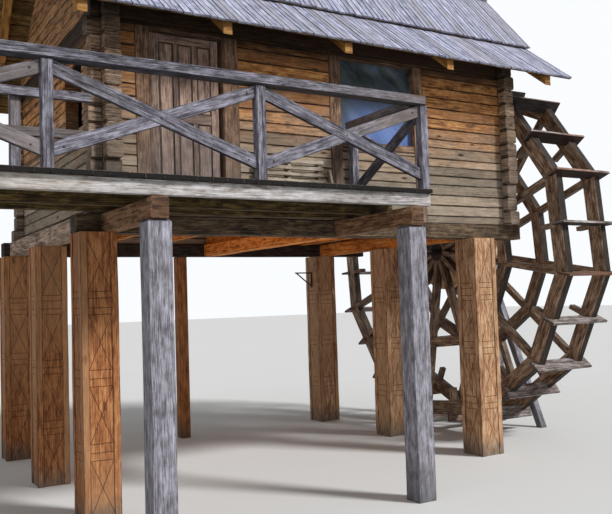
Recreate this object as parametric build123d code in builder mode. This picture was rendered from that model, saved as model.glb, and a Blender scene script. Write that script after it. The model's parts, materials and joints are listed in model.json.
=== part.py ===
"""Timber watermill on piers, with a front gallery and a tall double wheel beside it.

X runs along the front wall towards the wheel, Y from the front wall into the house, Z up.
The pieces are laid out from the front wall's outer face, midway between the side walls, at
the level where the lowest legs meet the water, and written with the origin moved to the
middle of the whole mill's footprint. Millimetres.
"""
import os
from math import atan2, cos, radians, sin, tan

from build123d import *

# House
house_half_width = 3000.0        # side walls' outer faces, either side of the middle
house_depth = 4200.0
wall_thickness = 180.0
pier_top = 2980.0
sill_height = 200.0
joist_height = 160.0
floor_thickness = 45.0
opening_head = 5300.0            # top of the door and window openings
wall_over_openings = 240.0
log_height = 195.0               # one course of the notched corners
log_end_reach = 150.0            # how far the logs and sills stand out past the corner
wheel_side_reach = 25.0          # the same on the wheel's side, trimmed to clear it
log_corner = 42.0                # flat taken off each arris of a log end

# Doorway and window in the front wall
left_wall_run = 200.0            # plain wall between the left corner and the door post
door_width = 890.0               # clear, between the posts
door_post_width = 160.0
latch_post_width = 200.0
door_head_height = 45.0
threshold_height = 30.0
right_wall_run = 1400.0          # plain wall between the window post and the right corner
window_width = 1170.0
window_sill_height = 4120.0
window_post_width = 170.0
window_sill_rail = 90.0
window_head_rail = 30.0
side_window_near = 800.0         # left wall's window, from the front face
side_window_width = 750.0
side_window_drop = 220.0         # its head below the front openings' head
side_window_height = 780.0

# Door leaf, turned on wooden pivots
leaf_thickness = 50.0
leaf_setback = 45.0
leaf_gap = 8.0
latch_gap = 38.0                 # the leaf stops short of its latch post
pivot_radius = 14.0
pivot_length = 24.0
panel_recess = 12.0
stile_width = 95.0
mid_stile_width = 60.0
lock_rail_height = 110.0
lock_rail_centre = 880.0         # above the leaf's foot
panel_columns = 3
latch_width = 70.0
latch_height = 60.0
latch_reach = 30.0
latch_over_lock_rail = 150.0     # underside of the latch above the lock rail
latch_inset = 18.0               # latch from the leaf's edge
running_gap = 0.3
shaft_play = 0.08                # radial, in a bearing or a pivot socket

# Piers and posts
pier_width = 390.0
corner_board = 75.0
pier_panel_recess = 10.0
left_pier_offset = 105.0         # pier's middle outside the left wall's face
right_pier_offset = 715.0        # pier's middle inside the right wall's face
pier_row_inset = 40.0            # first row's middle behind the front face
back_post_offset = 2530.0        # from the left wall's face
back_post_width = 170.0
girder_width = 220.0
bracket_bar = 22.0
bracket_arm = 330.0
bracket_drop = 280.0
bracket_top = 2700.0

# Gallery
gallery_depth = 1410.0           # front wall to the middle of the rail
bay_length = 2056.0
bay_count = 3
last_rail_post_offset = 3205.0   # right-hand rail post's middle from the left wall's face
walk_post_offset = 3000.0        # right-hand big post's middle from the left wall's face
walk_post_spacing = 2950.0
walk_post_count = 3
walk_post_width = 225.0
walk_post_chamfer = 28.0
cross_beam_width = 170.0
cross_beam_reach = 130.0
fascia_height = 140.0
fascia_thickness = 70.0
ledger_width = 110.0
deck_lip = 55.0
rail_post_width = 100.0
rail_height = 1050.0             # deck to the top of the rail
rail_depth = 100.0
rail_width = 150.0
rail_overrun = 20.0
brace_width = 125.0
brace_thickness = 45.0
brace_foot = 110.0
rear_bar_height = 95.0
rear_bar_thickness = 50.0
rear_bar_levels = (640.0, 1040.0)
rear_post_width = 100.0

# Floor
joist_width = 110.0
joist_count = 7

# Roof
eave_overhang = 550.0
verge_overhang = 770.0
lower_pitch = 38.0
upper_pitch = 49.0
pitch_break = 360.0              # from the wall face to the change of pitch
roof_thickness = 50.0
roof_lap = 130.0
rafter_depth = 120.0
rafter_width = 110.0
rafter_tail_trim = 60.0
ridge_width = 170.0
ridge_thickness = 35.0
rafter_divisions = 3.5
rafter_shift = -110.0            # the rafters stand left of the even division
outer_rafter_offset = 330.0      # outside the side walls
gable_thickness = 90.0

# Wheel
wheel_radius = 2795.0            # to the corners of the outer rims
wheel_axis_lead = 70.0           # the axle is this far in front of the ridge line
wheel_axis_z = 2930.0
wheel_clearance = 25.0           # sill ends to the floats
ring_gap = 665.0                 # clear width between the two rings
near_ring_thickness = 140.0
far_ring_thickness = 120.0
ring_width = 230.0
inner_ring_radius = 1640.0       # to its corners
inner_ring_width = 185.0
arm_count = 12
arm_width = 90.0
nave_radius = 150.0              # iron collar round the axle
strut_width = 65.0               # short struts inside the rim, between the arms
strut_length = 210.0
first_arm_angle = 10.0
hub_radius = 640.0
hub_thickness = 48.0
float_depth = 210.0
float_thickness = 38.0
float_near_reach = 95.0          # past the outer face of the near ring
float_far_reach = 120.0          # past the outer face of the far ring
float_notch = 100.0              # sunk this far into the rim
shaft_radius = 42.0
shaft_overrun = 60.0
bearing_size = 230.0
bearing_thickness = 120.0
outer_post_gap = 75.0            # floats to the outer post
outer_post_depth = 260.0
outer_post_width = 200.0
outer_post_top = 3220.0
brace_spread = 950.0
outer_brace_width = 120.0
outer_brace_top = 2300.0

# Loose slatted rack against the wall
rack_offset = 1785.0             # its left end from the left wall's face
rack_width = 960.0
rack_height = 520.0
rack_bar = 45.0
rack_slats = 7
rack_slat_height = 45.0
rack_slat_thickness = 20.0
stick_width = 40.0
stick_length = 420.0
stick_angle = 14.0
sheet_thickness = 6.0

# Levels that follow
sill_top = pier_top + sill_height
joist_top = sill_top + joist_height
floor_top = joist_top + floor_thickness
wall_top = opening_head + wall_over_openings
deck_top = floor_top
front_edge = -gallery_depth
last_rail_post_x = last_rail_post_offset - house_half_width
walk_post_x = walk_post_offset - house_half_width
gallery_right = last_rail_post_x + rail_post_width / 2
gallery_left = last_rail_post_x - bay_count * bay_length - rail_post_width / 2
rail_top = deck_top + rail_height
rail_underside = rail_top - rail_depth
ridge_y = house_depth / 2
inner_half_width = house_half_width - wall_thickness
left_pier_x = -house_half_width - left_pier_offset
right_pier_x = house_half_width - right_pier_offset
pier_rows = (pier_row_inset, house_depth / 2, house_depth - pier_row_inset)
back_post_x = back_post_offset - house_half_width
door_frame_left = -inner_half_width + left_wall_run
door_left = door_frame_left + door_post_width
door_right = door_left + door_width
door_frame_right = door_right + latch_post_width
window_frame_right = inner_half_width - right_wall_run
window_right = window_frame_right - window_post_width
window_left = window_right - window_width
window_frame_left = window_left - window_post_width

# Wheel layout and the middle of the footprint
half_bay = 180 / arm_count
between_arms = first_arm_angle + half_bay
chord_drop = wheel_radius * (1 - cos(radians(half_bay)))
near_ring_start = house_half_width + log_end_reach + wheel_clearance + float_near_reach
far_ring_start = near_ring_start + near_ring_thickness + ring_gap
floats_start = near_ring_start - float_near_reach
floats_end = far_ring_start + far_ring_thickness + float_far_reach
wheel_axis_y = ridge_y - wheel_axis_lead
outer_post_x = floats_end + outer_post_gap + outer_post_width / 2
float_tip = wheel_radius - float_notch + running_gap + float_depth
wheel_back = wheel_axis_y
for first_angle, tip in ((first_arm_angle, float_tip), (between_arms, float_tip - chord_drop)):
    for index in range(arm_count):
        turned = radians(first_angle + index * 2 * half_bay)
        tip_back = tip * cos(turned) + float_thickness / 2 * abs(sin(turned))
        wheel_back = max(wheel_back, wheel_axis_y + tip_back)
shaft_end = outer_post_x + outer_post_width / 2 + shaft_overrun
rail_left = last_rail_post_x - bay_count * bay_length - rail_overrun
walk_post_front = front_edge - walk_post_width / 2
footprint_x = (rail_left + shaft_end) / 2
footprint_y = (walk_post_front + max(wheel_back, house_depth + eave_overhang)) / 2


def beam(x_span, y_span, z_span, mode=Mode.ADD):
    """Fill three spans, each given as its two ends, with squared timber."""
    spans = (x_span, y_span, z_span)
    middle = tuple(sum(span) / 2 for span in spans)
    size = tuple(abs(span[1] - span[0]) for span in spans)
    with Locations(middle):
        Box(*size, mode=mode)


def around(middle, width):
    """Return the span of a width about its middle."""
    return (middle - width / 2, middle + width / 2)


def slanted_bar(start, end, width, thickness):
    """Lay a straight bar of rectangular section between two points in an X or Y plane."""
    path = Vector(*end) - Vector(*start)
    across = Vector(0, 1, 0) if abs(path.Y) < abs(path.X) else Vector(1, 0, 0)
    with BuildSketch(Plane(origin=start, x_dir=across, z_dir=path)) as section:
        Rectangle(thickness, width)
    extrude(section.sketch, amount=path.length)


def keep(piece, name):
    """Label a finished piece and write it to its own file, about the middle of the footprint."""
    placed = piece.part.moved(Location((-footprint_x, -footprint_y, 0)))
    placed.label = name
    export_step(placed, f"parts/{name}.step")


os.makedirs("parts", exist_ok=True)

# Box piers with raised corner boards
for side, pier_x in (("left", left_pier_x), ("right", right_pier_x)):
    with BuildPart() as piers:
        with BuildSketch(Plane.XY):
            with Locations(*[(pier_x, row) for row in pier_rows]):
                Rectangle(pier_width, pier_width)
            panel = pier_width - 2 * corner_board
            offset_in = (pier_width - pier_panel_recess) / 2
            for row in pier_rows:
                with Locations((pier_x - offset_in, row), (pier_x + offset_in, row)):
                    Rectangle(pier_panel_recess, panel, mode=Mode.SUBTRACT)
                with Locations((pier_x, row - offset_in), (pier_x, row + offset_in)):
                    Rectangle(panel, pier_panel_recess, mode=Mode.SUBTRACT)
        extrude(amount=pier_top)
    keep(piers, f"{side}_piers")

with BuildPart() as back_post:
    beam(around(back_post_x, back_post_width), around(pier_rows[-1], back_post_width), (0, pier_top))
keep(back_post, "back_post")

# Small iron bracket on the back right pier
with BuildPart() as iron_bracket:
    bracket_foot_x = right_pier_x - pier_width / 2 + pier_panel_recess - bracket_bar
    bracket_tip_x = bracket_foot_x - bracket_arm
    bracket_y = around(pier_rows[-1], bracket_bar)
    beam((bracket_foot_x, bracket_foot_x + bracket_bar), bracket_y, (bracket_top - bracket_drop, bracket_top))
    beam((bracket_tip_x, bracket_foot_x), bracket_y, (bracket_top - bracket_bar, bracket_top))
    strut_start = (bracket_foot_x + bracket_bar / 2, pier_rows[-1], bracket_top - bracket_drop + bracket_bar)
    strut_end = (bracket_tip_x + bracket_bar, pier_rows[-1], bracket_top - bracket_bar / 2)
    slanted_bar(strut_start, strut_end, bracket_bar, bracket_bar)
keep(iron_bracket, "iron_bracket")

# Sills across the front and back, girders between them
front_sill_span = (0.0, girder_width)
back_sill_span = (house_depth - girder_width, house_depth)
with BuildPart() as cross_sills:
    for y_span in (front_sill_span, back_sill_span):
        beam((left_pier_x - pier_width / 2, house_half_width + log_end_reach), y_span, (pier_top, sill_top))
keep(cross_sills, "cross_sills")

with BuildPart() as floor_girders:
    for girder_x in (left_pier_x, walk_post_x, right_pier_x):
        beam(around(girder_x, girder_width), (girder_width, house_depth - girder_width), (pier_top, sill_top))
keep(floor_girders, "floor_girders")

with BuildPart() as floor_joists:
    joist_step = 2 * (inner_half_width - joist_width) / (joist_count - 1)
    joist_y = (wall_thickness, house_depth - wall_thickness)
    for index in range(joist_count):
        joist_x = -inner_half_width + joist_width + index * joist_step
        beam(around(joist_x, joist_width), joist_y, (sill_top, joist_top))
keep(floor_joists, "floor_joists")

with BuildPart() as floor_boards:
    inside_y = (wall_thickness, house_depth - wall_thickness)
    beam((-inner_half_width, inner_half_width), inside_y, (joist_top, floor_top))
keep(floor_boards, "floor_boards")

# Gallery substructure
walk_posts_x = [walk_post_x - index * walk_post_spacing for index in range(walk_post_count)]
with BuildPart() as gallery_posts:
    for post_x in walk_posts_x:
        beam(around(post_x, walk_post_width), around(front_edge, walk_post_width), (0, pier_top))
    chamfer(gallery_posts.edges().group_by(Axis.Z)[-1], length=walk_post_chamfer)
keep(gallery_posts, "gallery_posts")

with BuildPart() as gallery_cross_beams:
    for post_x in walk_posts_x:
        beam(around(post_x, cross_beam_width), (front_edge - cross_beam_reach, 0.0), (pier_top, sill_top))
keep(gallery_cross_beams, "gallery_cross_beams")

fascia_front = front_edge - rail_post_width / 2
with BuildPart() as gallery_fascia:
    fascia_y = (fascia_front, fascia_front + fascia_thickness)
    beam((gallery_left, gallery_right), fascia_y, (joist_top - fascia_height, joist_top))
keep(gallery_fascia, "gallery_fascia")

with BuildPart() as gallery_ledgers:
    ledger_z = (sill_top, joist_top)
    beam((gallery_left, gallery_right), around(front_edge / 2, ledger_width), ledger_z)
    beam((gallery_left, gallery_right), (-ledger_width - log_end_reach, -log_end_reach), ledger_z)
keep(gallery_ledgers, "gallery_ledgers")

with BuildPart() as gallery_deck:
    beam((gallery_left, gallery_right), (fascia_front - deck_lip, 0.0), (joist_top, deck_top))
    corner_cut_x = (-house_half_width - running_gap, -inner_half_width + running_gap)
    beam(corner_cut_x, (-log_end_reach - running_gap, 0.0), (joist_top, deck_top), mode=Mode.SUBTRACT)
keep(gallery_deck, "gallery_deck")

# Railings
rail_posts_x = [last_rail_post_x - index * bay_length for index in range(bay_count + 1)]
with BuildPart() as rail_posts:
    for post_x in rail_posts_x:
        beam(around(post_x, rail_post_width), around(front_edge, rail_post_width), (deck_top, rail_underside))
keep(rail_posts, "rail_posts")

with BuildPart() as top_rail:
    rail_x = (rail_posts_x[-1] - rail_overrun, rail_posts_x[0] + rail_overrun)
    beam(rail_x, around(front_edge, rail_width), (rail_underside, rail_top))
keep(top_rail, "top_rail")


def cross_braces(span, place):
    """Fuse two crossing braces that fill one bay between its posts.

    The span is the clear width between the posts, and place turns a distance along
    the bay and a height into a point.
    """
    low, high = span
    rise = rail_underside - deck_top - brace_foot
    slope = atan2(rise - brace_width, high - low)
    half = brace_width / 2 / cos(slope)
    bottom = deck_top + brace_foot
    top = rail_underside
    falling = [(low, top), (low, top - 2 * half), (high, bottom), (high, bottom + 2 * half)]
    rising = [(low, bottom + 2 * half), (low, bottom), (high, top - 2 * half), (high, top)]
    for outline in (falling, rising):
        with BuildSketch(place) as brace:
            with BuildLine():
                Polyline(*outline, close=True)
            make_face()
        extrude(brace.sketch, amount=brace_thickness / 2, both=True)


front_plane = Plane(origin=(0, front_edge, 0), x_dir=(1, 0, 0), z_dir=(0, -1, 0))
for index, bay_name in enumerate(("right", "middle", "left")):
    with BuildPart() as brace_panel:
        bay_right = rail_posts_x[index] - rail_post_width / 2
        bay_left = rail_posts_x[index + 1] + rail_post_width / 2
        cross_braces((bay_left, bay_right), front_plane)
    keep(brace_panel, f"{bay_name}_brace_panel")

# Return of the railing from the last post back to the wall
with BuildPart() as return_railing:
    return_start = front_edge + rail_width / 2
    wall_post_y = -rail_post_width
    beam(around(last_rail_post_x, rail_width), (return_start, 0.0), (rail_underside, rail_top))
    beam(around(last_rail_post_x, rail_post_width), (wall_post_y, 0.0), (deck_top, rail_underside))
    side_plane = Plane(origin=(last_rail_post_x, 0, 0), x_dir=(0, 1, 0), z_dir=(1, 0, 0))
    cross_braces((front_edge + rail_post_width / 2, wall_post_y), side_plane)
keep(return_railing, "return_railing")

# Railing on the back edge of the deck, left of the house
with BuildPart() as rear_railing:
    rear_right = -house_half_width - log_end_reach - running_gap
    rear_y = -rear_post_width / 2
    for post_x in rail_posts_x[2:]:
        beam(around(post_x, rear_post_width), around(rear_y, rear_post_width), (deck_top, rail_top))
    bar_y = (rear_y - rear_post_width / 2 - rear_bar_thickness, rear_y - rear_post_width / 2)
    for level in rear_bar_levels:
        bar_z = (deck_top + level - rear_bar_height, deck_top + level)
        beam((gallery_left, rear_right), bar_y, bar_z)
keep(rear_railing, "rear_railing")

# Front wall, split beside and over its openings
front_y = (0.0, wall_thickness)
with BuildPart() as front_wall_left:
    beam((-inner_half_width, door_frame_left), front_y, (sill_top, opening_head))
keep(front_wall_left, "front_wall_left")

with BuildPart() as front_wall_middle:
    beam((door_frame_right, window_frame_left), front_y, (sill_top, opening_head))
keep(front_wall_middle, "front_wall_middle")

with BuildPart() as front_wall_under_window:
    beam((window_left, window_right), front_y, (sill_top, window_sill_height))
keep(front_wall_under_window, "front_wall_under_window")

with BuildPart() as front_wall_right:
    beam((window_frame_right, inner_half_width), front_y, (sill_top, opening_head))
keep(front_wall_right, "front_wall_right")

with BuildPart() as front_wall_top:
    beam((-inner_half_width, inner_half_width), front_y, (opening_head, wall_top))
keep(front_wall_top, "front_wall_top")

pivot_x = door_left + leaf_gap + leaf_thickness / 2
pivot_y = leaf_setback + leaf_thickness / 2
head_bottom = opening_head - door_head_height
sill_board_top = floor_top + threshold_height
with BuildPart() as door_posts:
    beam((door_frame_left, door_left), front_y, (sill_top, opening_head))
    beam((door_right, door_frame_right), front_y, (sill_top, opening_head))
keep(door_posts, "door_posts")

with BuildPart() as door_head:
    beam((door_left, door_right), front_y, (head_bottom, opening_head))
    with Locations((pivot_x, pivot_y, head_bottom)):
        socket_depth = pivot_length + leaf_gap
        Cylinder(pivot_radius + shaft_play, socket_depth, align=(Align.CENTER, Align.CENTER, Align.MIN),
                 mode=Mode.SUBTRACT)
keep(door_head, "door_head")

with BuildPart() as door_threshold:
    beam((door_left, door_right), front_y, (sill_top, sill_board_top))
    with Locations((pivot_x, pivot_y, sill_board_top)):
        Cylinder(pivot_radius + shaft_play, pivot_length + running_gap,
                 align=(Align.CENTER, Align.CENTER, Align.MAX), mode=Mode.SUBTRACT)
keep(door_threshold, "door_threshold")

sheet_bottom = window_sill_height + window_sill_rail
sheet_top = opening_head - window_head_rail
with BuildPart() as window_frame:
    for post_span in ((window_frame_left, window_left), (window_right, window_frame_right)):
        beam(post_span, front_y, (sill_top, opening_head))
    beam((window_left, window_right), front_y, (window_sill_height, sheet_bottom))
    beam((window_left, window_right), front_y, (sheet_top, opening_head))
keep(window_frame, "window_frame")

with BuildPart() as window_sheet:
    sheet_y = wall_thickness / 2
    beam((window_left + running_gap, window_right - running_gap), around(sheet_y, sheet_thickness),
         (sheet_bottom + running_gap, sheet_top - running_gap))
keep(window_sheet, "window_sheet")

# Door leaf: framed, three columns of panels in two rows, rounded on its pivot side
with BuildPart() as door_leaf:
    leaf_left = pivot_x
    leaf_right = door_right - latch_gap
    leaf_bottom = sill_board_top + leaf_gap
    leaf_top = head_bottom - leaf_gap
    leaf_y = around(pivot_y, leaf_thickness)
    beam((leaf_left, leaf_right), leaf_y, (leaf_bottom, leaf_top))
    with Locations((pivot_x, pivot_y, (leaf_bottom + leaf_top) / 2)):
        Cylinder(leaf_thickness / 2, leaf_top - leaf_bottom)
    panels_left = leaf_left + stile_width
    panels_right = leaf_right - stile_width
    rails_between = (panel_columns - 1) * mid_stile_width
    panel_width = (panels_right - panels_left - rails_between) / panel_columns
    lock_low = leaf_bottom + lock_rail_centre - lock_rail_height / 2
    lock_high = lock_low + lock_rail_height
    for column in range(panel_columns):
        panel_left = panels_left + column * (panel_width + mid_stile_width)
        for panel_z in ((leaf_bottom + stile_width, lock_low), (lock_high, leaf_top - stile_width)):
            for face_y in (leaf_y[0] + panel_recess / 2, leaf_y[1] - panel_recess / 2):
                beam((panel_left, panel_left + panel_width), around(face_y, panel_recess), panel_z,
                     mode=Mode.SUBTRACT)
    for foot, side_align in ((leaf_bottom, Align.MAX), (leaf_top, Align.MIN)):
        with Locations((pivot_x, pivot_y, foot)):
            Cylinder(pivot_radius, pivot_length + leaf_gap, align=(Align.CENTER, Align.CENTER, side_align))
    latch_x = (leaf_right - latch_inset - latch_width, leaf_right - latch_inset)
    latch_bottom = lock_high + latch_over_lock_rail
    beam(latch_x, (leaf_y[0] - latch_reach, leaf_y[0]), (latch_bottom, latch_bottom + latch_height))
keep(door_leaf, "door_leaf")

# Side and back walls
wall_z = (sill_top, wall_top)
full_y = (0.0, house_depth)
with BuildPart() as left_wall:
    left_x = (-house_half_width, -inner_half_width)
    beam(left_x, full_y, wall_z)
    side_window_y = (side_window_near, side_window_near + side_window_width)
    side_window_top = opening_head - side_window_drop
    side_window_z = (side_window_top - side_window_height, side_window_top)
    beam(left_x, side_window_y, side_window_z, mode=Mode.SUBTRACT)
keep(left_wall, "left_wall")

with BuildPart() as right_wall:
    beam((inner_half_width, house_half_width), full_y, wall_z)
keep(right_wall, "right_wall")

with BuildPart() as back_wall:
    back_y = (house_depth - wall_thickness, house_depth)
    beam((-inner_half_width, inner_half_width), back_y, wall_z)
keep(back_wall, "back_wall")

# Ends of the notched logs at the four corners
course_count = int((wall_top - sill_top) // log_height)
with BuildPart() as corner_log_ends:
    stack_middle = sill_top + course_count * log_height / 2
    log_half_width = wall_thickness / 2 - running_gap
    log_half_height = log_height / 2
    log_end_outline = [
        (-log_half_width, -log_half_height + log_corner), (-log_half_width + log_corner, -log_half_height),
        (log_half_width - log_corner, -log_half_height), (log_half_width, -log_half_height + log_corner),
        (log_half_width, log_half_height - log_corner), (log_half_width - log_corner, log_half_height),
        (-log_half_width + log_corner, log_half_height), (-log_half_width, log_half_height - log_corner),
    ]
    front_face = Plane(origin=(0, 0, stack_middle), x_dir=(1, 0, 0), z_dir=(0, -1, 0))
    back_face = Plane(origin=(0, house_depth, stack_middle), x_dir=(1, 0, 0), z_dir=(0, 1, 0))
    for face in (front_face, back_face):
        with BuildSketch(face):
            with GridLocations(2 * house_half_width - wall_thickness, log_height, 2, course_count):
                Polygon(*log_end_outline, align=None)
        extrude(amount=log_end_reach)
    left_face = Plane(origin=(-house_half_width, ridge_y, stack_middle), x_dir=(0, 1, 0), z_dir=(-1, 0, 0))
    right_face = Plane(origin=(house_half_width, ridge_y, stack_middle), x_dir=(0, 1, 0), z_dir=(1, 0, 0))
    for face, reach in ((left_face, log_end_reach), (right_face, wheel_side_reach)):
        with BuildSketch(face):
            with GridLocations(house_depth - wall_thickness, log_height, 2, course_count):
                Polygon(*log_end_outline, align=None)
        extrude(amount=reach)
keep(corner_log_ends, "corner_log_ends")

# Two-pitch roof
lower_rise = tan(radians(lower_pitch))
upper_rise = tan(radians(upper_pitch))
rafter_drop = rafter_depth / cos(radians(lower_pitch))
roof_seat = wall_top + rafter_drop            # roof underside over the wall face
break_z = roof_seat + pitch_break * lower_rise
lower_cover = roof_thickness / cos(radians(lower_pitch))
upper_cover = roof_thickness / cos(radians(upper_pitch))
upper_foot_y = pitch_break - roof_lap
upper_foot_z = roof_seat + upper_foot_y * lower_rise + lower_cover
ridge_underside = upper_foot_z + (ridge_y - upper_foot_y) * upper_rise
skirt_top_y = pitch_break
verge_x = house_half_width + verge_overhang


def profile_across(points, x_low, x_high, mirrored=False):
    """Extrude an outline, given as depth and height, along the house; mirrored is the back."""
    turned = [(house_depth - depth, height) for depth, height in points] if mirrored else points
    with BuildSketch(Plane(origin=(x_low, 0, 0), x_dir=(0, 1, 0), z_dir=(1, 0, 0))) as outline:
        with BuildLine():
            Polyline(*turned, close=True)
        make_face()
    extrude(outline.sketch, amount=x_high - x_low)


eave_z = roof_seat - eave_overhang * lower_rise
skirt_outline = [(-eave_overhang, eave_z), (skirt_top_y, break_z), (skirt_top_y, break_z + lower_cover),
                 (-eave_overhang, eave_z + lower_cover)]
upper_outline = [(upper_foot_y, upper_foot_z), (ridge_y, ridge_underside),
                 (ridge_y, ridge_underside + upper_cover), (upper_foot_y, upper_foot_z + upper_cover)]
for side, mirrored in (("front", False), ("back", True)):
    with BuildPart() as roof_lower:
        profile_across(skirt_outline, -verge_x, verge_x, mirrored)
    keep(roof_lower, f"{side}_roof_lower")
    with BuildPart() as roof_upper:
        profile_across(upper_outline, -verge_x, verge_x, mirrored)
    keep(roof_upper, f"{side}_roof_upper")

with BuildPart() as ridge_cap:
    ridge_cover = ridge_thickness / cos(radians(upper_pitch))
    ridge_top = ridge_underside + upper_cover
    drop = ridge_width * upper_rise
    cap_outline = [(ridge_y, ridge_top), (ridge_y - ridge_width, ridge_top - drop),
                   (ridge_y - ridge_width, ridge_top - drop + ridge_cover),
                   (ridge_y, ridge_top + ridge_cover),
                   (ridge_y + ridge_width, ridge_top - drop + ridge_cover),
                   (ridge_y + ridge_width, ridge_top - drop)]
    profile_across(cap_outline, -verge_x, verge_x)
keep(ridge_cap, "ridge_cap")

# Rafters in pairs, their tails showing under the eaves
skirt_slope_end = roof_seat + skirt_top_y * lower_rise
tail_y = -eave_overhang + rafter_tail_trim
rafter_outline = [
    (tail_y, roof_seat + tail_y * lower_rise),
    (skirt_top_y, skirt_slope_end),
    (ridge_y, skirt_slope_end + (ridge_y - skirt_top_y) * upper_rise),
    (ridge_y, skirt_slope_end + (ridge_y - skirt_top_y) * upper_rise - rafter_drop),
    (skirt_top_y, skirt_slope_end - rafter_drop),
    (tail_y, roof_seat + tail_y * lower_rise - rafter_drop),
]
outer_rafter_x = house_half_width + outer_rafter_offset
rafter_spacing = 2 * inner_half_width / rafter_divisions
inner_rafter_xs = [index * rafter_spacing + rafter_shift for index in (-1, 0, 1)]
rafter_xs = [-outer_rafter_x, *inner_rafter_xs, outer_rafter_x]
for side, mirrored in (("front", False), ("back", True)):
    with BuildPart() as rafters:
        for rafter_x in rafter_xs:
            profile_across(rafter_outline, rafter_x - rafter_width / 2, rafter_x + rafter_width / 2, mirrored)
    keep(rafters, f"{side}_rafters")

# Gables between the side walls and the roof
gable_outline = [(0.0, wall_top), (0.0, roof_seat), (skirt_top_y, skirt_slope_end),
                 (ridge_y, skirt_slope_end + (ridge_y - skirt_top_y) * upper_rise),
                 (house_depth - skirt_top_y, skirt_slope_end), (house_depth, roof_seat),
                 (house_depth, wall_top)]
for side, gable_x in (("left", -house_half_width), ("right", house_half_width - gable_thickness)):
    with BuildPart() as gable:
        profile_across(gable_outline, gable_x, gable_x + gable_thickness)
    keep(gable, f"{side}_gable")

# Waterwheel: its rims are straight felloes that meet at the arms
wheel_plane = Plane(origin=(0, wheel_axis_y, wheel_axis_z), x_dir=(0, 1, 0), z_dir=(1, 0, 0))
for name, ring_start, thickness in (
        ("near", near_ring_start, near_ring_thickness), ("far", far_ring_start, far_ring_thickness)):
    with BuildPart() as wheel_ring:
        with BuildSketch(wheel_plane.offset(ring_start)):
            RegularPolygon(wheel_radius, arm_count, rotation=first_arm_angle)
            RegularPolygon(wheel_radius - ring_width, arm_count, rotation=first_arm_angle, mode=Mode.SUBTRACT)
            RegularPolygon(inner_ring_radius, arm_count, rotation=first_arm_angle)
            RegularPolygon(inner_ring_radius - inner_ring_width, arm_count, rotation=first_arm_angle,
                           mode=Mode.SUBTRACT)
            Circle(nave_radius)
            arm_start = nave_radius / 2
            arm_length = wheel_radius - ring_width / 2 - arm_start
            with PolarLocations(arm_start + arm_length / 2, arm_count, first_arm_angle):
                Rectangle(arm_length, arm_width)
            strut_end = (wheel_radius - ring_width / 2) * cos(radians(half_bay))
            strut_reach = strut_length + ring_width / 2
            with PolarLocations(strut_end - strut_reach / 2, arm_count, between_arms):
                Rectangle(strut_reach, strut_width)
            Circle(shaft_radius + shaft_play, mode=Mode.SUBTRACT)
            notch_size = (2 * float_notch, float_thickness + 2 * running_gap)
            with PolarLocations(wheel_radius, arm_count, first_arm_angle):
                Rectangle(*notch_size, mode=Mode.SUBTRACT)
            with PolarLocations(wheel_radius - chord_drop, arm_count, between_arms):
                Rectangle(*notch_size, mode=Mode.SUBTRACT)
        extrude(amount=thickness)
    keep(wheel_ring, f"{name}_wheel_ring")

with BuildPart() as wheel_hubs:
    near_disc_start = near_ring_start + near_ring_thickness + running_gap
    far_disc_start = far_ring_start - running_gap - hub_thickness
    for disc_start in (near_disc_start, far_disc_start):
        with BuildSketch(wheel_plane.offset(disc_start)):
            Circle(hub_radius)
            Circle(shaft_radius + shaft_play, mode=Mode.SUBTRACT)
        extrude(amount=hub_thickness)
keep(wheel_hubs, "wheel_hubs")

with BuildPart() as wheel_floats:
    with BuildSketch(wheel_plane.offset(floats_start)):
        float_middle = float_tip - float_depth / 2
        with PolarLocations(float_middle, arm_count, first_arm_angle):
            Rectangle(float_depth, float_thickness)
        with PolarLocations(float_middle - chord_drop, arm_count, between_arms):
            Rectangle(float_depth, float_thickness)
    extrude(amount=floats_end - floats_start)
keep(wheel_floats, "wheel_floats")

bearing_x = right_pier_x + pier_width / 2
with BuildPart() as wheel_shaft:
    shaft_start = bearing_x + running_gap
    with BuildSketch(wheel_plane.offset(shaft_start)):
        Circle(shaft_radius)
    extrude(amount=shaft_end - shaft_start)
keep(wheel_shaft, "wheel_shaft")

with BuildPart() as inner_bearing:
    with BuildSketch(wheel_plane.offset(bearing_x)):
        Rectangle(bearing_size, bearing_size)
        Circle(shaft_radius + shaft_play, mode=Mode.SUBTRACT)
    extrude(amount=bearing_thickness)
keep(inner_bearing, "inner_bearing")

with BuildPart() as outer_wheel_post:
    beam(around(outer_post_x, outer_post_width), around(wheel_axis_y, outer_post_depth), (0, outer_post_top))
    with BuildSketch(wheel_plane.offset(outer_post_x - outer_post_width / 2)):
        Circle(shaft_radius + shaft_play)
    extrude(amount=outer_post_width, mode=Mode.SUBTRACT)
keep(outer_wheel_post, "outer_wheel_post")

with BuildPart() as outer_post_braces:
    for side in (-1, 1):
        face_y = wheel_axis_y + side * outer_post_depth / 2
        foot_y = face_y + side * brace_spread
        brace_outline = [(face_y, outer_brace_top), (face_y, outer_brace_top - 2 * outer_brace_width),
                         (foot_y - side * outer_brace_width, 0.0), (foot_y, 0.0)]
        profile_across(brace_outline, *around(outer_post_x, outer_brace_width))
keep(outer_post_braces, "outer_post_braces")

# Slatted rack that leans on the wall, and a stick beside it
with BuildPart() as slat_rack:
    rack_back = -running_gap
    rack_left = rack_offset - house_half_width
    rack_right = rack_left + rack_width
    rack_z = (deck_top, deck_top + rack_height)
    for upright in (rack_left + rack_bar, (rack_left + rack_right) / 2, rack_right - rack_bar):
        beam(around(upright, rack_bar), (rack_back - rack_bar, rack_back), rack_z)
    slat_step = (rack_height - rack_slat_height) / (rack_slats - 1)
    slat_y = (rack_back - rack_bar - rack_slat_thickness, rack_back - rack_bar)
    for index in range(rack_slats):
        slat_bottom = deck_top + index * slat_step
        beam((rack_left, rack_right), slat_y, (slat_bottom, slat_bottom + rack_slat_height))
keep(slat_rack, "slat_rack")

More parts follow.
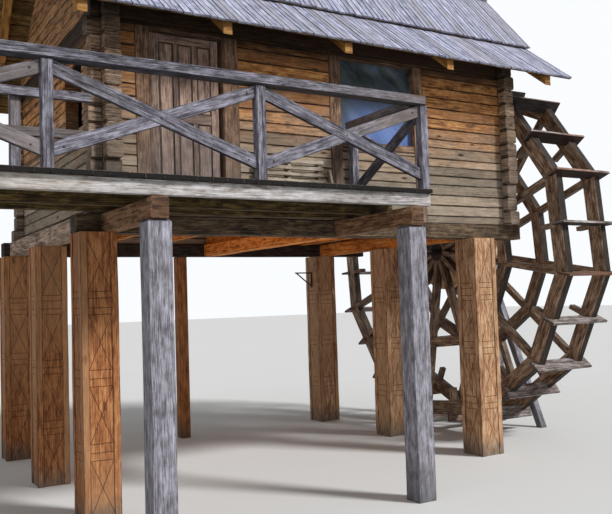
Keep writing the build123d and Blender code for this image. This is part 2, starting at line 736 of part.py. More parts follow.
with BuildPart() as leaning_stick:
    stick_foot_x = rack_right + stick_length * sin(radians(stick_angle)) + 2 * stick_width
    stick_z = deck_top + stick_length * cos(radians(stick_angle))
    stick_top_x = stick_foot_x - stick_length * sin(radians(stick_angle))
    stick_outline = [(stick_foot_x, deck_top), (stick_foot_x + stick_width, deck_top),
                     (stick_top_x + stick_width, stick_z), (stick_top_x, stick_z)]
    with BuildSketch(Plane(origin=(0, -running_gap, 0), x_dir=(1, 0, 0), z_dir=(0, -1, 0))):
        with BuildLine():
            Polyline(*stick_outline, close=True)
        make_face()
    extrude(amount=stick_width)
keep(leaning_stick, "leaning_stick")
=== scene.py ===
"""Looks of the timber watermill: logs, planks, roof boards, wheel and window sheet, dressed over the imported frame.

Every piece is cut to the place of the solid that it stands for, in metres, and carries its own grain
coordinates, so that each board has its own figure, tone and end grain.
"""
from __future__ import annotations

import json
import logging
import random
from contextlib import contextmanager
from dataclasses import dataclass
from enum import Enum
from math import atan2, cos, hypot, pi, radians, sin, tan, tau
from typing import Any, Callable, Iterator, Sequence

import bmesh
import bpy
from bmesh.types import BMEdge, BMLoop, BMVert
from bpy.types import Material, Node, NodeSocket
from mathutils import Matrix, Vector, noise

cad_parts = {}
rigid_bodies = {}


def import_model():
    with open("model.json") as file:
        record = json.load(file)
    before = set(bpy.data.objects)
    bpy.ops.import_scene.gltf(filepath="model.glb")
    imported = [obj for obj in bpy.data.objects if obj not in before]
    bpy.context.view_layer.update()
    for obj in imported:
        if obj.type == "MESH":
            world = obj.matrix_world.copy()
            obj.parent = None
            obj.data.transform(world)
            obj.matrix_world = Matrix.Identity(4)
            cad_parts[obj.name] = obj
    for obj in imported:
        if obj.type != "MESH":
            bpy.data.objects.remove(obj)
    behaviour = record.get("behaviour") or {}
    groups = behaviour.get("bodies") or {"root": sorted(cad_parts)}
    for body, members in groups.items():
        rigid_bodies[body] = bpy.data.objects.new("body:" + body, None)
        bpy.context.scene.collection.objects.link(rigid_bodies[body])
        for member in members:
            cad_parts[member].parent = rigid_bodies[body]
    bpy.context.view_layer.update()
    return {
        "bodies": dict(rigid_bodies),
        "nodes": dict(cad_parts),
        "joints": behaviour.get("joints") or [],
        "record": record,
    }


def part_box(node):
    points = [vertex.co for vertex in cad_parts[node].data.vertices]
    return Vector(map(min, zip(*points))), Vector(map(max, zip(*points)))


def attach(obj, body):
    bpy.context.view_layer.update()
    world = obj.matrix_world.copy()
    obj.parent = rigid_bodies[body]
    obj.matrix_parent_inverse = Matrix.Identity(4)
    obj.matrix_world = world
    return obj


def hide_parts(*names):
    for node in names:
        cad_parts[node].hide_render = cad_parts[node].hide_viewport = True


log = logging.getLogger("watermill")

FAR_FROM_CARVING = (9.0, 9.0)
NO_SEAM = (0.0, 9.0)
LOWER_PITCH, UPPER_PITCH = radians(38.0), radians(49.0)
BREAK_IN = 0.36
FACING = {"front": 1.0, "back": -1.0}
RIGHT, BACK, FRONT = Vector((1, 0, 0)), Vector((0, 1, 0)), Vector((0, -1, 0))

Colour = tuple[float, float, float]
Box = tuple[Vector, Vector]
DAMP: Colour = (0.03, 0.025, 0.02)


def shade(code: str) -> Colour:
    """Return a scene-linear colour from the hex code seen on a screen."""
    values = [int(code[place:place + 2], 16) / 255 for place in (0, 2, 4)]
    return tuple(value / 12.92 if value <= 0.04045 else ((value + 0.055) / 1.055) ** 2.4 for value in values)


def darkened(colour: Colour, share: float) -> Colour:
    """Return a colour cut to a share of its light."""
    return tuple(channel * share for channel in colour)


class Run(Enum):
    """The way a board's length lies."""

    X = 0
    Y = 1
    Z = 2


# Shader writing


def maths(operation: str, reflected: bool = False) -> Callable[..., "Signal"]:
    """Return a method that adds one Math node.

    Args:
        operation: Blender's name of the sum.
        reflected: whether the signal stands on the right-hand side.

    Returns:
        The method, which returns the result as a signal.
    """

    def operator(self: "Signal", other: Any = 0.0) -> "Signal":
        """Add the node and return its result."""
        first, second = (other, self) if reflected else (self, other)
        return self.shop.signal("ShaderNodeMath", {"operation": operation}, {0: first, 1: second})

    return operator


@dataclass(frozen=True)
class Signal:
    """A number travelling through a material, with arithmetic written as expressions."""

    shop: "PaintShop"
    socket: NodeSocket

    __add__, __radd__ = maths("ADD"), maths("ADD", True)
    __sub__, __rsub__ = maths("SUBTRACT"), maths("SUBTRACT", True)
    __mul__, __rmul__ = maths("MULTIPLY"), maths("MULTIPLY", True)
    __truediv__, __rtruediv__ = maths("DIVIDE"), maths("DIVIDE", True)
    least, most, size = maths("MINIMUM"), maths("MAXIMUM"), maths("ABSOLUTE")

    def between(self, low: float, high: float) -> "Signal":
        """Ease from 0 at low to 1 at high."""
        return self.shop.signal("ShaderNodeMapRange", {"interpolation_type": "SMOOTHSTEP"},
                                {"Value": self, "From Min": low, "From Max": high})


class PaintShop:
    """Writes the nodes of one material or world."""

    def __init__(self, home: Material | bpy.types.World) -> None:
        """Clear the nodes of a new material or world.

        Args:
            home: the material or world.
        """
        home.use_nodes = True
        self.home, self.tree = home, home.node_tree
        self.tree.nodes.clear()

    def node(self, kind: str, settings: dict[str, Any] | None = None,
             sockets: dict[str | int, Any] | None = None) -> Node:
        """Add any node.

        Args:
            kind: the node's type.
            settings: its own settings, set first; a ramp's stops are given as "stops".
            sockets: values or links for its inputs, by name or place.

        Returns:
            The new node.
        """
        made = self.tree.nodes.new(kind)
        for key, value in (settings or {}).items():
            if key == "stops":
                self.set_stops(made.color_ramp, value)
            else:
                setattr(made, key, value)
        for key, value in (sockets or {}).items():
            self.feed(made.inputs[key], value)
        return made

    def feed(self, socket: NodeSocket, value: Any) -> None:
        """Set a socket to a plain value, or link it to a signal or an output.

        Args:
            socket: the input.
            value: what feeds it; a colour may leave out its alpha.
        """
        source = value.socket if isinstance(value, Signal) else value
        if isinstance(source, NodeSocket):
            self.tree.links.new(source, socket)
        else:
            socket.default_value = (*value, 1.0) if socket.type == "RGBA" and len(value) == 3 else value

    @staticmethod
    def set_stops(ramp: bpy.types.ColorRamp, stops: Sequence[tuple[float, Colour]]) -> None:
        """Give a colour ramp its stops.

        Args:
            ramp: the ramp.
            stops: place and colour of each, from the lowest up.
        """
        while len(ramp.elements) < len(stops):
            ramp.elements.new(1.0)
        for element, (position, colour) in zip(ramp.elements, stops):
            element.position, element.color = position, (*colour, 1.0)

    def signal(self, kind: str, settings: dict[str, Any] | None = None, sockets: dict[str | int, Any] | None = None,
               output: str | int = 0) -> Signal:
        """Add a node and return one of its outputs as a signal."""
        return Signal(self, self.node(kind, settings, sockets).outputs[output])

    def parts(self, vector: NodeSocket, count: int = 3) -> tuple[Signal, ...]:
        """Return the first parts of a vector."""
        split = self.node("ShaderNodeSeparateXYZ", None, {0: vector})
        return tuple(Signal(self, split.outputs[index]) for index in range(count))

    def place(self) -> tuple[Signal, ...]:
        """Return the three parts of the object's own coordinates."""
        return self.parts(self.node("ShaderNodeTexCoord").outputs["Object"])

    def laid(self, layer: str) -> tuple[Signal, ...]:
        """Return the two parts of a piece's own map."""
        return self.parts(self.node("ShaderNodeUVMap", {"uv_map": layer}).outputs["UV"], 2)

    def mark(self, attribute: str) -> Signal:
        """Return a number that the piece carries on its faces."""
        return self.signal("ShaderNodeAttribute", {"attribute_name": attribute}, output="Fac")

    def spot(self, x: Any, y: Any, z: Any) -> NodeSocket:
        """Join three numbers into a vector."""
        return self.node("ShaderNodeCombineXYZ", None, {0: x, 1: y, 2: z}).outputs[0]

    def cloud(self, x: Any, y: Any, z: Any, detail: float = 4.0, rough: float = 0.55, twist: float = 0.0) -> Signal:
        """Return fractal noise, about 0 to 1, at three numbers that are already scaled."""
        return self.signal("ShaderNodeTexNoise", None, {
            "Vector": self.spot(x, y, z), "Scale": 1.0, "Detail": detail, "Roughness": rough, "Distortion": twist})

    def cells(self, x: Any, y: Any, z: Any) -> Signal:
        """Return the distance to the nearest of a field of scattered points."""
        return self.signal("ShaderNodeTexVoronoi", None, {"Vector": self.spot(x, y, z), "Scale": 1.0},
                           output="Distance")

    def ramp(self, factor: Signal, *stops: tuple[float, Colour]) -> NodeSocket:
        """Return a colour picked along a ramp."""
        return self.node("ShaderNodeValToRGB", {"stops": stops}, {"Fac": factor}).outputs["Color"]

    def mix(self, factor: Any, below: Any, above: Any) -> NodeSocket:
        """Lay a share of the second colour over the first."""
        return self.node("ShaderNodeMix", {"data_type": "RGBA"}, {0: factor, 6: below, 7: above}).outputs[2]

    def dim(self, colour: Any, amount: Signal) -> NodeSocket:
        """Scale a colour's brightness by a number."""
        return self.node("ShaderNodeVectorMath", {"operation": "SCALE"}, {0: colour, "Scale": amount}).outputs[0]

    def done(self, colour: Any, roughness: Any, relief: tuple[Signal, float, float] | None = None,
             **constants: float) -> Material:
        """Wire a Principled shader to the output.

        Args:
            colour: the base colour.
            roughness: the roughness.
            relief: a height of 0 to 1, what it is worth in metres, and its strength.
            constants: plain values of other sockets.

        Returns:
            The finished material.
        """
        sockets = {name.replace("_", " "): value for name, value in constants.items()}
        sockets |= {"Base Color": colour, "Roughness": roughness}
        if relief is not None:
            bump = dict(zip(("Height", "Distance", "Strength"), relief))
            sockets["Normal"] = self.node("ShaderNodeBump", None, bump).outputs["Normal"]
        shader = self.node("ShaderNodeBsdfPrincipled", None, sockets)
        self.node("ShaderNodeOutputMaterial", None, {"Surface": shader.outputs["BSDF"]})
        return self.home


@dataclass(frozen=True)
class Coat:
    """What every finish shares.

    Attributes:
        name: the material's name.
        slot: the record's material slot that it belongs to; not used.
    """

    name: str
    slot: str

    def made(self) -> Material:
        """Return this finish's material, written the first time that it is asked for."""
        return bpy.data.materials.get(self.name) or self.written(PaintShop(bpy.data.materials.new(self.name)))


@dataclass(frozen=True)
class Fade:
    """A change of colour with height, as where rain, sun or damp reaches, and also painted shadow that darkens the tops
    of the walls under the eaves.

    Attributes:
        low: height in metres at which the fade is full.
        high: height at which it has gone.
        colour: what the wood turns to; near-black where the fade is painted shadow under the eaves.
        amount: how far it turns.
    """

    low: float
    high: float
    colour: str
    amount: float


@dataclass(frozen=True)
class Timber(Coat):
    """A sawn or hewn wood finish.

    Attributes:
        tints: its late wood, its body and its early wood.
        rings: grain lines per metre across the board.
        checks: amount of long drying cracks.
        knots: amount of knots.
        stains: amount of broad dark staining.
        stain: colour of that staining, where it isn't plain damp.
        tones: how far one board differs from the next in brightness.
        ends: how far sawn ends are darkened at least.
        blush: a second body colour that some boards lean to.
        seams: how far the long edges of a board are darkened: painted shade in the gaps between boards.
        seam_width: how far in from the edge that reaches, in metres.
        under: how much lower the tone of faces that look down is: painted shade on the undersides.
        roughness: average roughness.
        depth: relief of the grain, in metres.
        fades: changes with height, from weathering and from painted shadow under the eaves.
        incised: whether panels carry cut lines.
    """

    tints: str
    rings: float = 60.0
    checks: float = 0.3
    knots: float = 0.5
    stains: float = 0.6
    stain: str = ""
    tones: float = 0.3
    ends: float = 0.35
    blush: str = ""
    seams: float = 0.5
    seam_width: float = 0.012
    under: float = 0.0
    roughness: float = 0.8
    depth: float = 0.0035
    fades: tuple[Fade, ...] = ()
    incised: bool = False

    def written(self, shop: PaintShop) -> Material:
        """Write the nodes.

        Args:
            shop: the material's own shop.

        Returns:
            The finished material.
        """
        dark, middle, pale = (shade(code) for code in self.tints.split())
        along, across = shop.laid("grain")
        x, y, z = shop.place()
        tone, end = shop.mark("tone"), shop.mark("end")
        drift = shop.cloud(along * 0.8, across * 2.2, tone * 31.0, 2.0)
        bent = across + (drift - 0.5) * 0.05
        knot_gap = shop.cells(along * 2.4, across * 7.0, tone * 13.0)
        knotty = shop.cloud(along * 0.9, across * 2.5, tone * 11.0, 1.0).between(0.39, 0.53)
        knot = (1.0 - knot_gap.between(0.07, 0.19)) * knotty
        lines = shop.cloud(along * 3.2, (bent + knot * 0.02) * self.rings, tone * 17.0, 5.0, 0.62)
        fibre = shop.cloud(along * 16.0, bent * self.rings * 4.0, tone * 7.0, 2.0)
        figure = shop.cloud(along * 5.5, bent * 16.0, tone * 23.0, 5.0, 0.68)
        crack_field = shop.cloud(along * 0.9, bent * self.rings * 0.3, tone * 41.0, 3.0, 0.5)
        crack = 1.0 - (crack_field - 0.5).size().between(0.004, 0.022)
        crack = crack * shop.cloud(along * 0.5, across * 3.0, tone * 5.0, 1.0).between(0.47, 0.6) * self.checks
        ends = shop.cells(along * 3.0, across * 3.0, tone * 9.0)
        end_rings = shop.cloud(ends * 60.0, along * 4.0, tone, 2.0)
        grain = (lines * 0.42 + figure * 0.38 + fibre * 0.2).between(0.37, 0.63)
        colour = shop.ramp(grain, (0.0, dark), (0.5, middle), (1.0, pale))
        if self.blush:
            leaning = shop.cloud(tone * 57.0, along * 0.25, 3.0, 1.0).between(0.45, 0.62)
            colour = shop.mix(leaning * 0.65, colour, shade(self.blush))
        # fades are weathering with height, and the near-black ones are painted shadow under the eaves
        for fade in self.fades:
            turned = shade(fade.colour)
            edge = shop.cloud(x * 1.7, y * 1.7, z * 2.3 + tone * 19.0, 3.0)
            reach = (z + (edge - 0.5) * (fade.high - fade.low)).between(fade.low, fade.high)
            faded = shop.mix(grain, shop.dim(turned, 0.62 + grain * 0.2), turned)
            colour = shop.mix((1.0 - reach) * fade.amount, colour, faded)
        # painted shade along each board's long edges, where the gaps between boards are
        place_across, half_width = shop.laid("seam")
        gap = half_width - place_across.size() + (figure - 0.5) * self.seam_width * 2.0
        edge_shade = (1.0 - gap.between(0.0, self.seam_width)) * self.seams
        colour = shop.mix(edge_shade, colour, darkened(dark, 0.25))
        patch = shop.cloud(x * 1.3, y * 1.3 + tone * 3.0, z * 1.3, 5.0, 0.6).between(0.5, 0.72)
        streak = shop.cloud(along * 2.0, across * 11.0, tone * 3.0, 5.0, 0.65).between(0.5, 0.72)
        stain = shade(self.stain) if self.stain else DAMP
        colour = shop.mix((patch * 0.6 + streak * 0.4) * self.stains, colour, stain)
        colour = shop.mix(knot * self.knots, colour, dark)
        colour = shop.mix(crack, colour, darkened(dark, 0.3))
        colour = shop.mix((end * (self.ends + end_rings * 0.5)).least(1.0), colour, dark)
        level = (1.0 - self.tones * 0.5) + tone * self.tones
        height = lines * 0.5 + fibre * 0.25 - crack * 1.2 - knot * 0.2
        if self.incised:
            cut = incised_lines(shop)
            colour = shop.mix(cut * 0.72, colour, darkened(dark, 0.4))
            height = height - cut * 1.2
        colour = shop.dim(colour, level)
        return shop.done(colour, (self.roughness - 0.08) + lines * 0.12, (height, self.depth, 0.85),
                         Specular_IOR_Level=0.25)


BAND_LINES = (2.36, 2.29, 2.19, 2.12, 1.55, 1.46, 1.38, 0.80, 0.71, 0.63)
CROSSES = ((2.36, 2.9), (1.55, 2.12), (0.80, 1.38), (0.08, 0.63))
HALF_PANEL = 0.12


def incised_lines(shop: PaintShop) -> Signal:
    """Cut triple bands with large crosses between them into a pier's panel.

    Args:
        shop: the material that is being written.

    Returns:
        The mask of the cut lines, 1 on them.
    """
    across, height = shop.laid("carving")
    wobble = (shop.cloud(across * 9.0, height * 5.0, 1.0, 2.0) - 0.5) * 0.012
    across, height = across + wobble, height + wobble
    mask: Signal | None = None
    for level in BAND_LINES:
        line = 1.0 - (height - level).size().between(0.002, 0.006)
        mask = line if mask is None else mask.most(line)
    for low, high in CROSSES:
        rise = (height - (low + high) / 2) / ((high - low) / 2)
        inside = 1.0 - rise.size().between(0.99, 1.0)
        for lean in (1.0, -1.0):
            gap = (across - rise * (lean * HALF_PANEL)).size()
            mask = mask.most((1.0 - gap.between(0.002, 0.006)) * inside)
    return mask * (1.0 - across.size().between(0.5, 0.6))


@dataclass(frozen=True)
class Iron(Coat):
    """Blackened or rusting iron.

    Attributes:
        body: the metal's colour.
        rust: colour of the rust.
        rusting: amount of rust.
    """

    body: str
    rust: str
    rusting: float

    def written(self, shop: PaintShop) -> Material:
        """Write the nodes.

        Args:
            shop: the material's own shop.

        Returns:
            The finished material.
        """
        x, y, z = shop.place()
        bloom = shop.cloud(x * 14.0, y * 14.0, z * 14.0, 5.0, 0.65)
        pits = shop.cloud(x * 90.0, y * 90.0, z * 90.0, 3.0)
        rusted = bloom.between(0.42, 0.66) * self.rusting
        colour = shop.dim(shop.mix(rusted, shade(self.body), shade(self.rust)), 0.75 + pits * 0.5)
        return shop.done(colour, 0.45 + rusted * 0.4, (pits * 0.6 + bloom * 0.4, 0.0015, 0.8), Metallic=0.55)


@dataclass(frozen=True)
class Film(Coat):
    """The dusty plastic sheet hung in the window.

    Attributes:
        tints: the painted shade in its folds, its own colour, and the painted sky light on it.
    """

    tints: str

    def written(self, shop: PaintShop) -> Material:
        """Write the nodes.

        Args:
            shop: the material's own shop.

        Returns:
            The finished material.
        """
        fold_shade, body, painted_sky_light = (shade(code) for code in self.tints.split())
        across, up = shop.laid("grain")
        dust = shop.cloud(across * 3.2, up * 3.2, 0.0, 5.0, 0.6, 0.4)
        slant = shop.cloud((across + up * 0.7) * 5.5, (up - across) * 1.1, 4.0, 3.0, 0.5, 0.3)
        crease = 1.0 - (slant - 0.5).size().between(0.004, 0.03)
        # painted sky light over the lower part of the sheet
        lower_painted_sky_light = (1.0 - up.between(0.15, 0.72)) * across.between(-0.1, 0.4)
        # the folds run from painted shade to painted sky light, mixed with dust
        colour = shop.ramp(slant * 0.6 + dust * 0.4, (0.3, fold_shade), (0.55, body), (0.8, painted_sky_light))
        colour = shop.mix(lower_painted_sky_light * 0.8, colour, painted_sky_light)
        # a painted highlight along the creases
        colour = shop.mix(crease * 0.12, colour, painted_sky_light)
        return shop.done(colour, 0.28 + dust * 0.25, (slant * 0.7 + crease * 0.3, 0.006, 0.8), Coat_Weight=0.3,
                         Coat_Roughness=0.2)


class Finish(Enum):
    """Every finish of the mill, by what it is on."""

    # the rails' under value is painted shade on their undersides
    RAIL = Timber(
        "rail_grey", "weathered_grey", "282529 67646e a4a2af", rings=130.0, checks=0.7, knots=0.9, stains=0.45,
        stain="2c282a", blush="7a6e66", seams=0.3, under=1.7, depth=0.003)
    FASCIA = Timber(
        "fascia_pale", "fascia_grey", "746a62 aca8a6 d0ccce", rings=80.0, checks=0.35, knots=0.8, stain="5c5046",
        tones=0.1, blush="a6987a", seams=0.4, seam_width=0.02)
    POST = Timber(
        "post_grey", "weathered_grey", "423d40 807e86 b0aeba", rings=150.0, checks=0.6, knots=0.6, stains=0.45,
        stain="544640", tones=0.12, seams=0.25, depth=0.004, fades=(Fade(0.05, 0.5, "606060", 0.7),))
    PIER = Timber(
        "pier_orange", "pier_boards", "603820 a2663c c48e5e", rings=70.0, knots=0.8, stains=0.25, stain="583c2a",
        tones=0.35, blush="a8805c", seams=0.7, fades=(Fade(0.02, 0.35, "686056", 0.75),), incised=True)
    # a paler copy of the pier wood for the right-hand piers: painted sunlight on them
    PIER_SUNLIT = Timber(
        "pier_sunlit", "pier_boards", "68402a b08460 d0b290", rings=70.0, knots=0.8, stains=0.25, stain="60422e",
        tones=0.35, blush="be9872", seams=0.7, fades=(Fade(0.02, 0.35, "787064", 0.75),), incised=True)
    # the wall's second, near-black fade is painted shadow under the eaves
    WALL = Timber(
        "wall_brown", "warm_wall", "422818 ac723e d8a46a", rings=50.0, checks=0.4, knots=1.0, stain="3e281b",
        tones=0.42, blush="8a5e3c", seams=0.85, seam_width=0.014,
        fades=(Fade(3.7, 4.85, "9a8f7f", 0.9), Fade(5.36, 5.04, "18100a", 0.94)))
    GABLE = Timber(
        "gable_brown", "warm_wall", "3c281b 8c623e b68c62", rings=50.0, checks=0.4, knots=0.9, stains=0.5,
        stain="3e2a1d", tones=0.4, seams=0.85, seam_width=0.014)
    # a near-black block inside the walls, seen through the gaps between courses: painted shade in the seams
    CHINKING = Timber("seam_black", "warm_wall", "0c0a09 14100e 1e1915", checks=0.0, knots=0.0, stains=0.35, tones=0.0)
    # the log ends' second, near-black fade is painted shadow under the eaves
    LOG_END = Timber(
        "log_end_brown", "warm_wall", "221913 967a62 c6ac92", checks=0.6, knots=0.4, tones=0.6, ends=0.12, seams=0.8,
        seam_width=0.02, fades=(Fade(3.5, 4.9, "928478", 0.7), Fade(5.44, 5.04, "1a120c", 0.9)))
    # the door posts' second, near-black fade is painted shadow under the eaves
    POST_WARM = Timber(
        "post_warm", "dark_timber", "2e211a 7c5c46 ac8e76", rings=70.0, checks=0.5, stains=0.45, tones=0.25, seams=0.6,
        fades=(Fade(3.5, 4.6, "847468", 0.7), Fade(5.44, 5.06, "1a120c", 0.9)))
    BEAM = Timber("beam_dark", "dark_timber", "241c16 544332 847056", checks=0.5, tones=0.35)
    # the deck's near-black plank ends are end grain with painted shade along the deck's front edge
    DECK = Timber("deck_brown", "weathered_grey", "120f0d 544b45 8a807a", checks=0.4, stains=0.5, tones=0.45, ends=0.95)
    LEDGER = Timber(
        "ledger_dark", "dark_timber", "140f07 48381c 7e683c", rings=56.0, checks=0.5, stains=0.7, stain="241c14",
        tones=0.25)
    # fresh-sawn orange wood, made paler and yellower as painted bounce light under the floor
    FRESH_BOUNCE_LIT = Timber(
        "fresh_orange_bounce_lit", "floor_orange", "7c4016 e88832 fabc68", knots=0.8, stains=0.35, stain="54301a", tones=0.35,
        seams=0.7)
    OUTER_GIRDER = Timber(
        "girder_tan", "floor_orange", "46362c 947c6a bca694", checks=0.6, knots=0.7, stains=0.4, stain="544034")
    BEARER = Timber(
        "bearer_brown", "dark_timber", "301f16 7c583e a68464", checks=0.6, knots=0.6, stains=0.5, stain="32241b")
    BACK_SILL = Timber(
        "sill_black", "dark_timber", "181412 302822 4e4238", rings=56.0, checks=0.6, knots=0.4, tones=0.2)
    DOOR = Timber(
        "door_brown", "door_wood", "483430 8a7264 b29a88", rings=90.0, knots=0.3, stains=0.5, stain="583c44", tones=0.5,
        seams=0.8, seam_width=0.007, fades=(Fade(3.4, 4.7, "7a6e6a", 0.8),))
    ROOF = Timber(
        "roof_silver", "roof_planks", "58586a 9c9fb5 cacde4", rings=130.0, knots=0.15, stains=0.2, stain="58545c",
        tones=0.26, ends=0.0, blush="98959e", seams=1.0, seam_width=0.01, depth=0.004)
    SOFFIT = Timber("soffit_brown", "roof_planks", "382816 7a5c32 9e7e4c", knots=0.6, stains=0.4, tones=0.35, seams=0.8)
    RAFTER = Timber("rafter_yellow", "warm_wall", "68421e b27e42 ce9e5c", checks=0.4, stains=0.4, ends=0.1)
    WHEEL = Timber(
        "wheel_dark", "wheel_wood", "1e1612 8a6c56 c8b098", rings=90.0, checks=0.5, knots=0.4, stain="1e1712",
        tones=0.45, seams=0.4, roughness=0.62)
    # the hub wood is far paler than the wheel's: painted light on the hubs, which sit in shade between the rings
    HUB = Timber("hub_tan", "wheel_wood", "8c6848 e2be92 f6deba", checks=0.5, knots=0.3, stains=0.45, tones=0.45)
    FLOAT_BOARD = Timber(
        "float_grey", "wheel_wood", "322a26 786c66 b2acae", rings=70.0, checks=0.4, knots=0.4, stains=0.5,
        stain="281e18", tones=0.6, blush="965e36")
    RACK = Timber("rack_pale", "weathered_grey", "766656 b0a290 d4c8b8", rings=90.0, knots=0.3, stains=0.25, seams=0.3)
    IRON = Iron("iron_black", "iron", "2e2c2c", "603a26", 0.45)
    NAIL = Iron("nail_head", "iron", "3a3634", "543c2e", 0.6)
    FILM = Film("window_film", "sheet_plastic", "161f20 364244 5e79b8")


# Cutting and joining


@dataclass(frozen=True)
class Cut:
    """How a board is worked.

    Attributes:
        arris: width of the bevel on its edges, in metres.
        facets: steps of that bevel.
        joints: rings added along its length, so that it can be less than straight.
        sway: how far those rings wander.
        tones: range of brightness that it is picked from.
        carved: whether its faces carry the panel's incised pattern.
        face_tones: brightness of faces that differ, each by its axis, 1 to 3 with a sign: painted shade on faces that
            light reaches less.
    """

    arris: float = 0.004
    facets: int = 1
    joints: int = 0
    sway: float = 0.0
    tones: tuple[float, float] = (0.0, 1.0)
    carved: bool = False
    face_tones: tuple[tuple[int, float], ...] = ()


SAWN = Cut()
HEWN = Cut(arris=0.008, joints=5, sway=0.008)
PLANK = Cut(joints=3, sway=0.004)
PLANK_FINE = Cut(arris=0.003, joints=2, sway=0.001)
SLAT = Cut(arris=0.003)


@dataclass(frozen=True)
class Saw:
    """A saw cut across a board.

    Attributes:
        point: a point on the cut.
        waste: the direction in which the wood is taken away.
    """

    point: Vector
    waste: Vector


def square_cut(axis: int, place: float, side: float) -> Saw:
    """Make a cut square to an axis.

    Args:
        axis: 0 to 2.
        place: where on it the cut is.
        side: the way of the waste, 1 or -1.

    Returns:
        The cut.
    """
    point, waste = Vector(), Vector()
    point[axis], waste[axis] = place, side
    return Saw(point, waste)


def unit_from_axle(angle: float) -> Vector:
    """Return the unit vector out from the axle at an angle in degrees, from +Y towards +Z."""
    return Vector((0, cos(radians(angle)), sin(radians(angle))))


def tangent(way: Vector) -> Vector:
    """Return the unit vector at right angles to a way out from the axle, towards rising angles."""
    return Vector((0, -way.z, way.y))


def linked(start: BMVert) -> set[BMVert]:
    """Return every vertex joined to one by edges.

    Args:
        start: the one.

    Returns:
        All of them, with the one.
    """
    found, waiting = {start}, [start]
    while waiting:
        near = {vert for edge in waiting.pop().link_edges for vert in edge.verts} - found
        found |= near
        waiting.extend(near)
    return found


def longest(low: Vector, high: Vector, axes: int = 3) -> Run:
    """Return the way a box is longest, among its first axes."""
    return Run(max(range(axes), key=lambda axis: high[axis] - low[axis]))


class Blank:
    """One board or casting under way, with the marks that its finish reads."""

    def __init__(self) -> None:
        """Start an empty mesh with its grain, carving, seam, tone and end marks."""
        self.mesh = bmesh.new()
        self.grain, self.carving, self.seam = (
            self.mesh.loops.layers.uv.new(name) for name in ("grain", "carving", "seam"))
        self.tone, self.end = (self.mesh.faces.layers.float.new(name) for name in ("tone", "end"))

    def lay(self, loop: BMLoop, grain: Sequence[float], carving: Sequence[float] = FAR_FROM_CARVING,
            seam: Sequence[float] = NO_SEAM) -> None:
        """Write one corner's place on the three maps."""
        loop[self.grain].uv, loop[self.carving].uv, loop[self.seam].uv = grain, carving, seam

    def mark(self, tone: float, length_way: int, shift: Vector, carved_from: Matrix | None = None,
             face_tones: Sequence[tuple[int, float]] = ()) -> None:
        """Lay the grain on the faces while the board is still square to the axes.

        Args:
            tone: its brightness, 0 to 1.
            length_way: the axis that its grain follows.
            shift: where in the wood's figure it was cut from.
            carved_from: the board's place, where its faces carry the incised pattern.
            face_tones: brightness of faces that differ, each by its axis, 1 to 3 with a sign: painted shade on faces
                that light reaches less.
        """
        first, second = (axis for axis in range(3) if axis != length_way)
        special = dict(face_tones)
        for face in self.mesh.faces:
            face.normal_update()
            facing = max(range(3), key=lambda axis: abs(face.normal[axis]))
            is_end = facing == length_way
            signed = facing + 1 if face.normal[facing] > 0 else -facing - 1
            face[self.tone], face[self.end] = special.get(signed, tone), float(is_end)
            wide = second if facing == first else first
            half = max(abs(vert.co[wide]) for vert in face.verts)
            for loop in face.loops:
                co = loop.vert.co
                flat = (co[first], co[second]) if is_end else (co[length_way], co[wide] + 0.31 * facing)
                carving = FAR_FROM_CARVING if carved_from is None else (co[first], (carved_from @ co).z)
                self.lay(loop, Vector(flat) + shift, carving, NO_SEAM if is_end else (co[wide], half))

    def saw(self, cut: Saw) -> bool:
        """Saw off what lies beyond a cut and close it.

        Args:
            cut: where and which way.

        Returns:
            Whether any wood is left.
        """
        mesh = self.mesh
        beyond = [(vert.co - cut.point).dot(cut.waste) for vert in mesh.verts]
        if max(beyond) < 0.0005:
            return True
        if min(beyond) > -0.002:
            return False
        tone = mesh.faces[:][0][self.tone]
        made = bmesh.ops.bisect_plane(mesh, geom=[*mesh.verts, *mesh.edges, *mesh.faces], plane_co=cut.point,
                                      plane_no=cut.waste, clear_outer=True)
        rim = [item for item in made["geom_cut"] if isinstance(item, BMEdge)]
        for face in bmesh.ops.holes_fill(mesh, edges=rim, sides=0)["faces"]:
            face[self.tone], face[self.end] = tone, 1.0
            for loop in face.loops:
                self.lay(loop, (loop.vert.co.x + loop.vert.co.y, loop.vert.co.z))
        return True

    def ease(self, arris: float, facets: int = 1, least: float = 0.5, along: int | None = None) -> None:
        """Bevel the sharp edges.

        Args:
            arris: width of the bevel.
            facets: its steps.
            least: the smallest turn, in radians, that counts as an edge.
            along: bevel only the edges that lie along this axis.
        """
        self.mesh.normal_update()
        sharp = [edge for edge in self.mesh.edges if len(edge.link_faces) == 2 and edge.calc_face_angle(0.0) > least]
        if along is not None:
            sharp = [edge for edge in sharp if abs((edge.verts[0].co - edge.verts[1].co).normalized()[along]) > 0.9]
        if arris > 0 and sharp:
            bmesh.ops.bevel(self.mesh, geom=sharp, offset=arris, offset_type="OFFSET", segments=facets, profile=0.5,
                            affect="EDGES", material=-1, clamp_overlap=True)


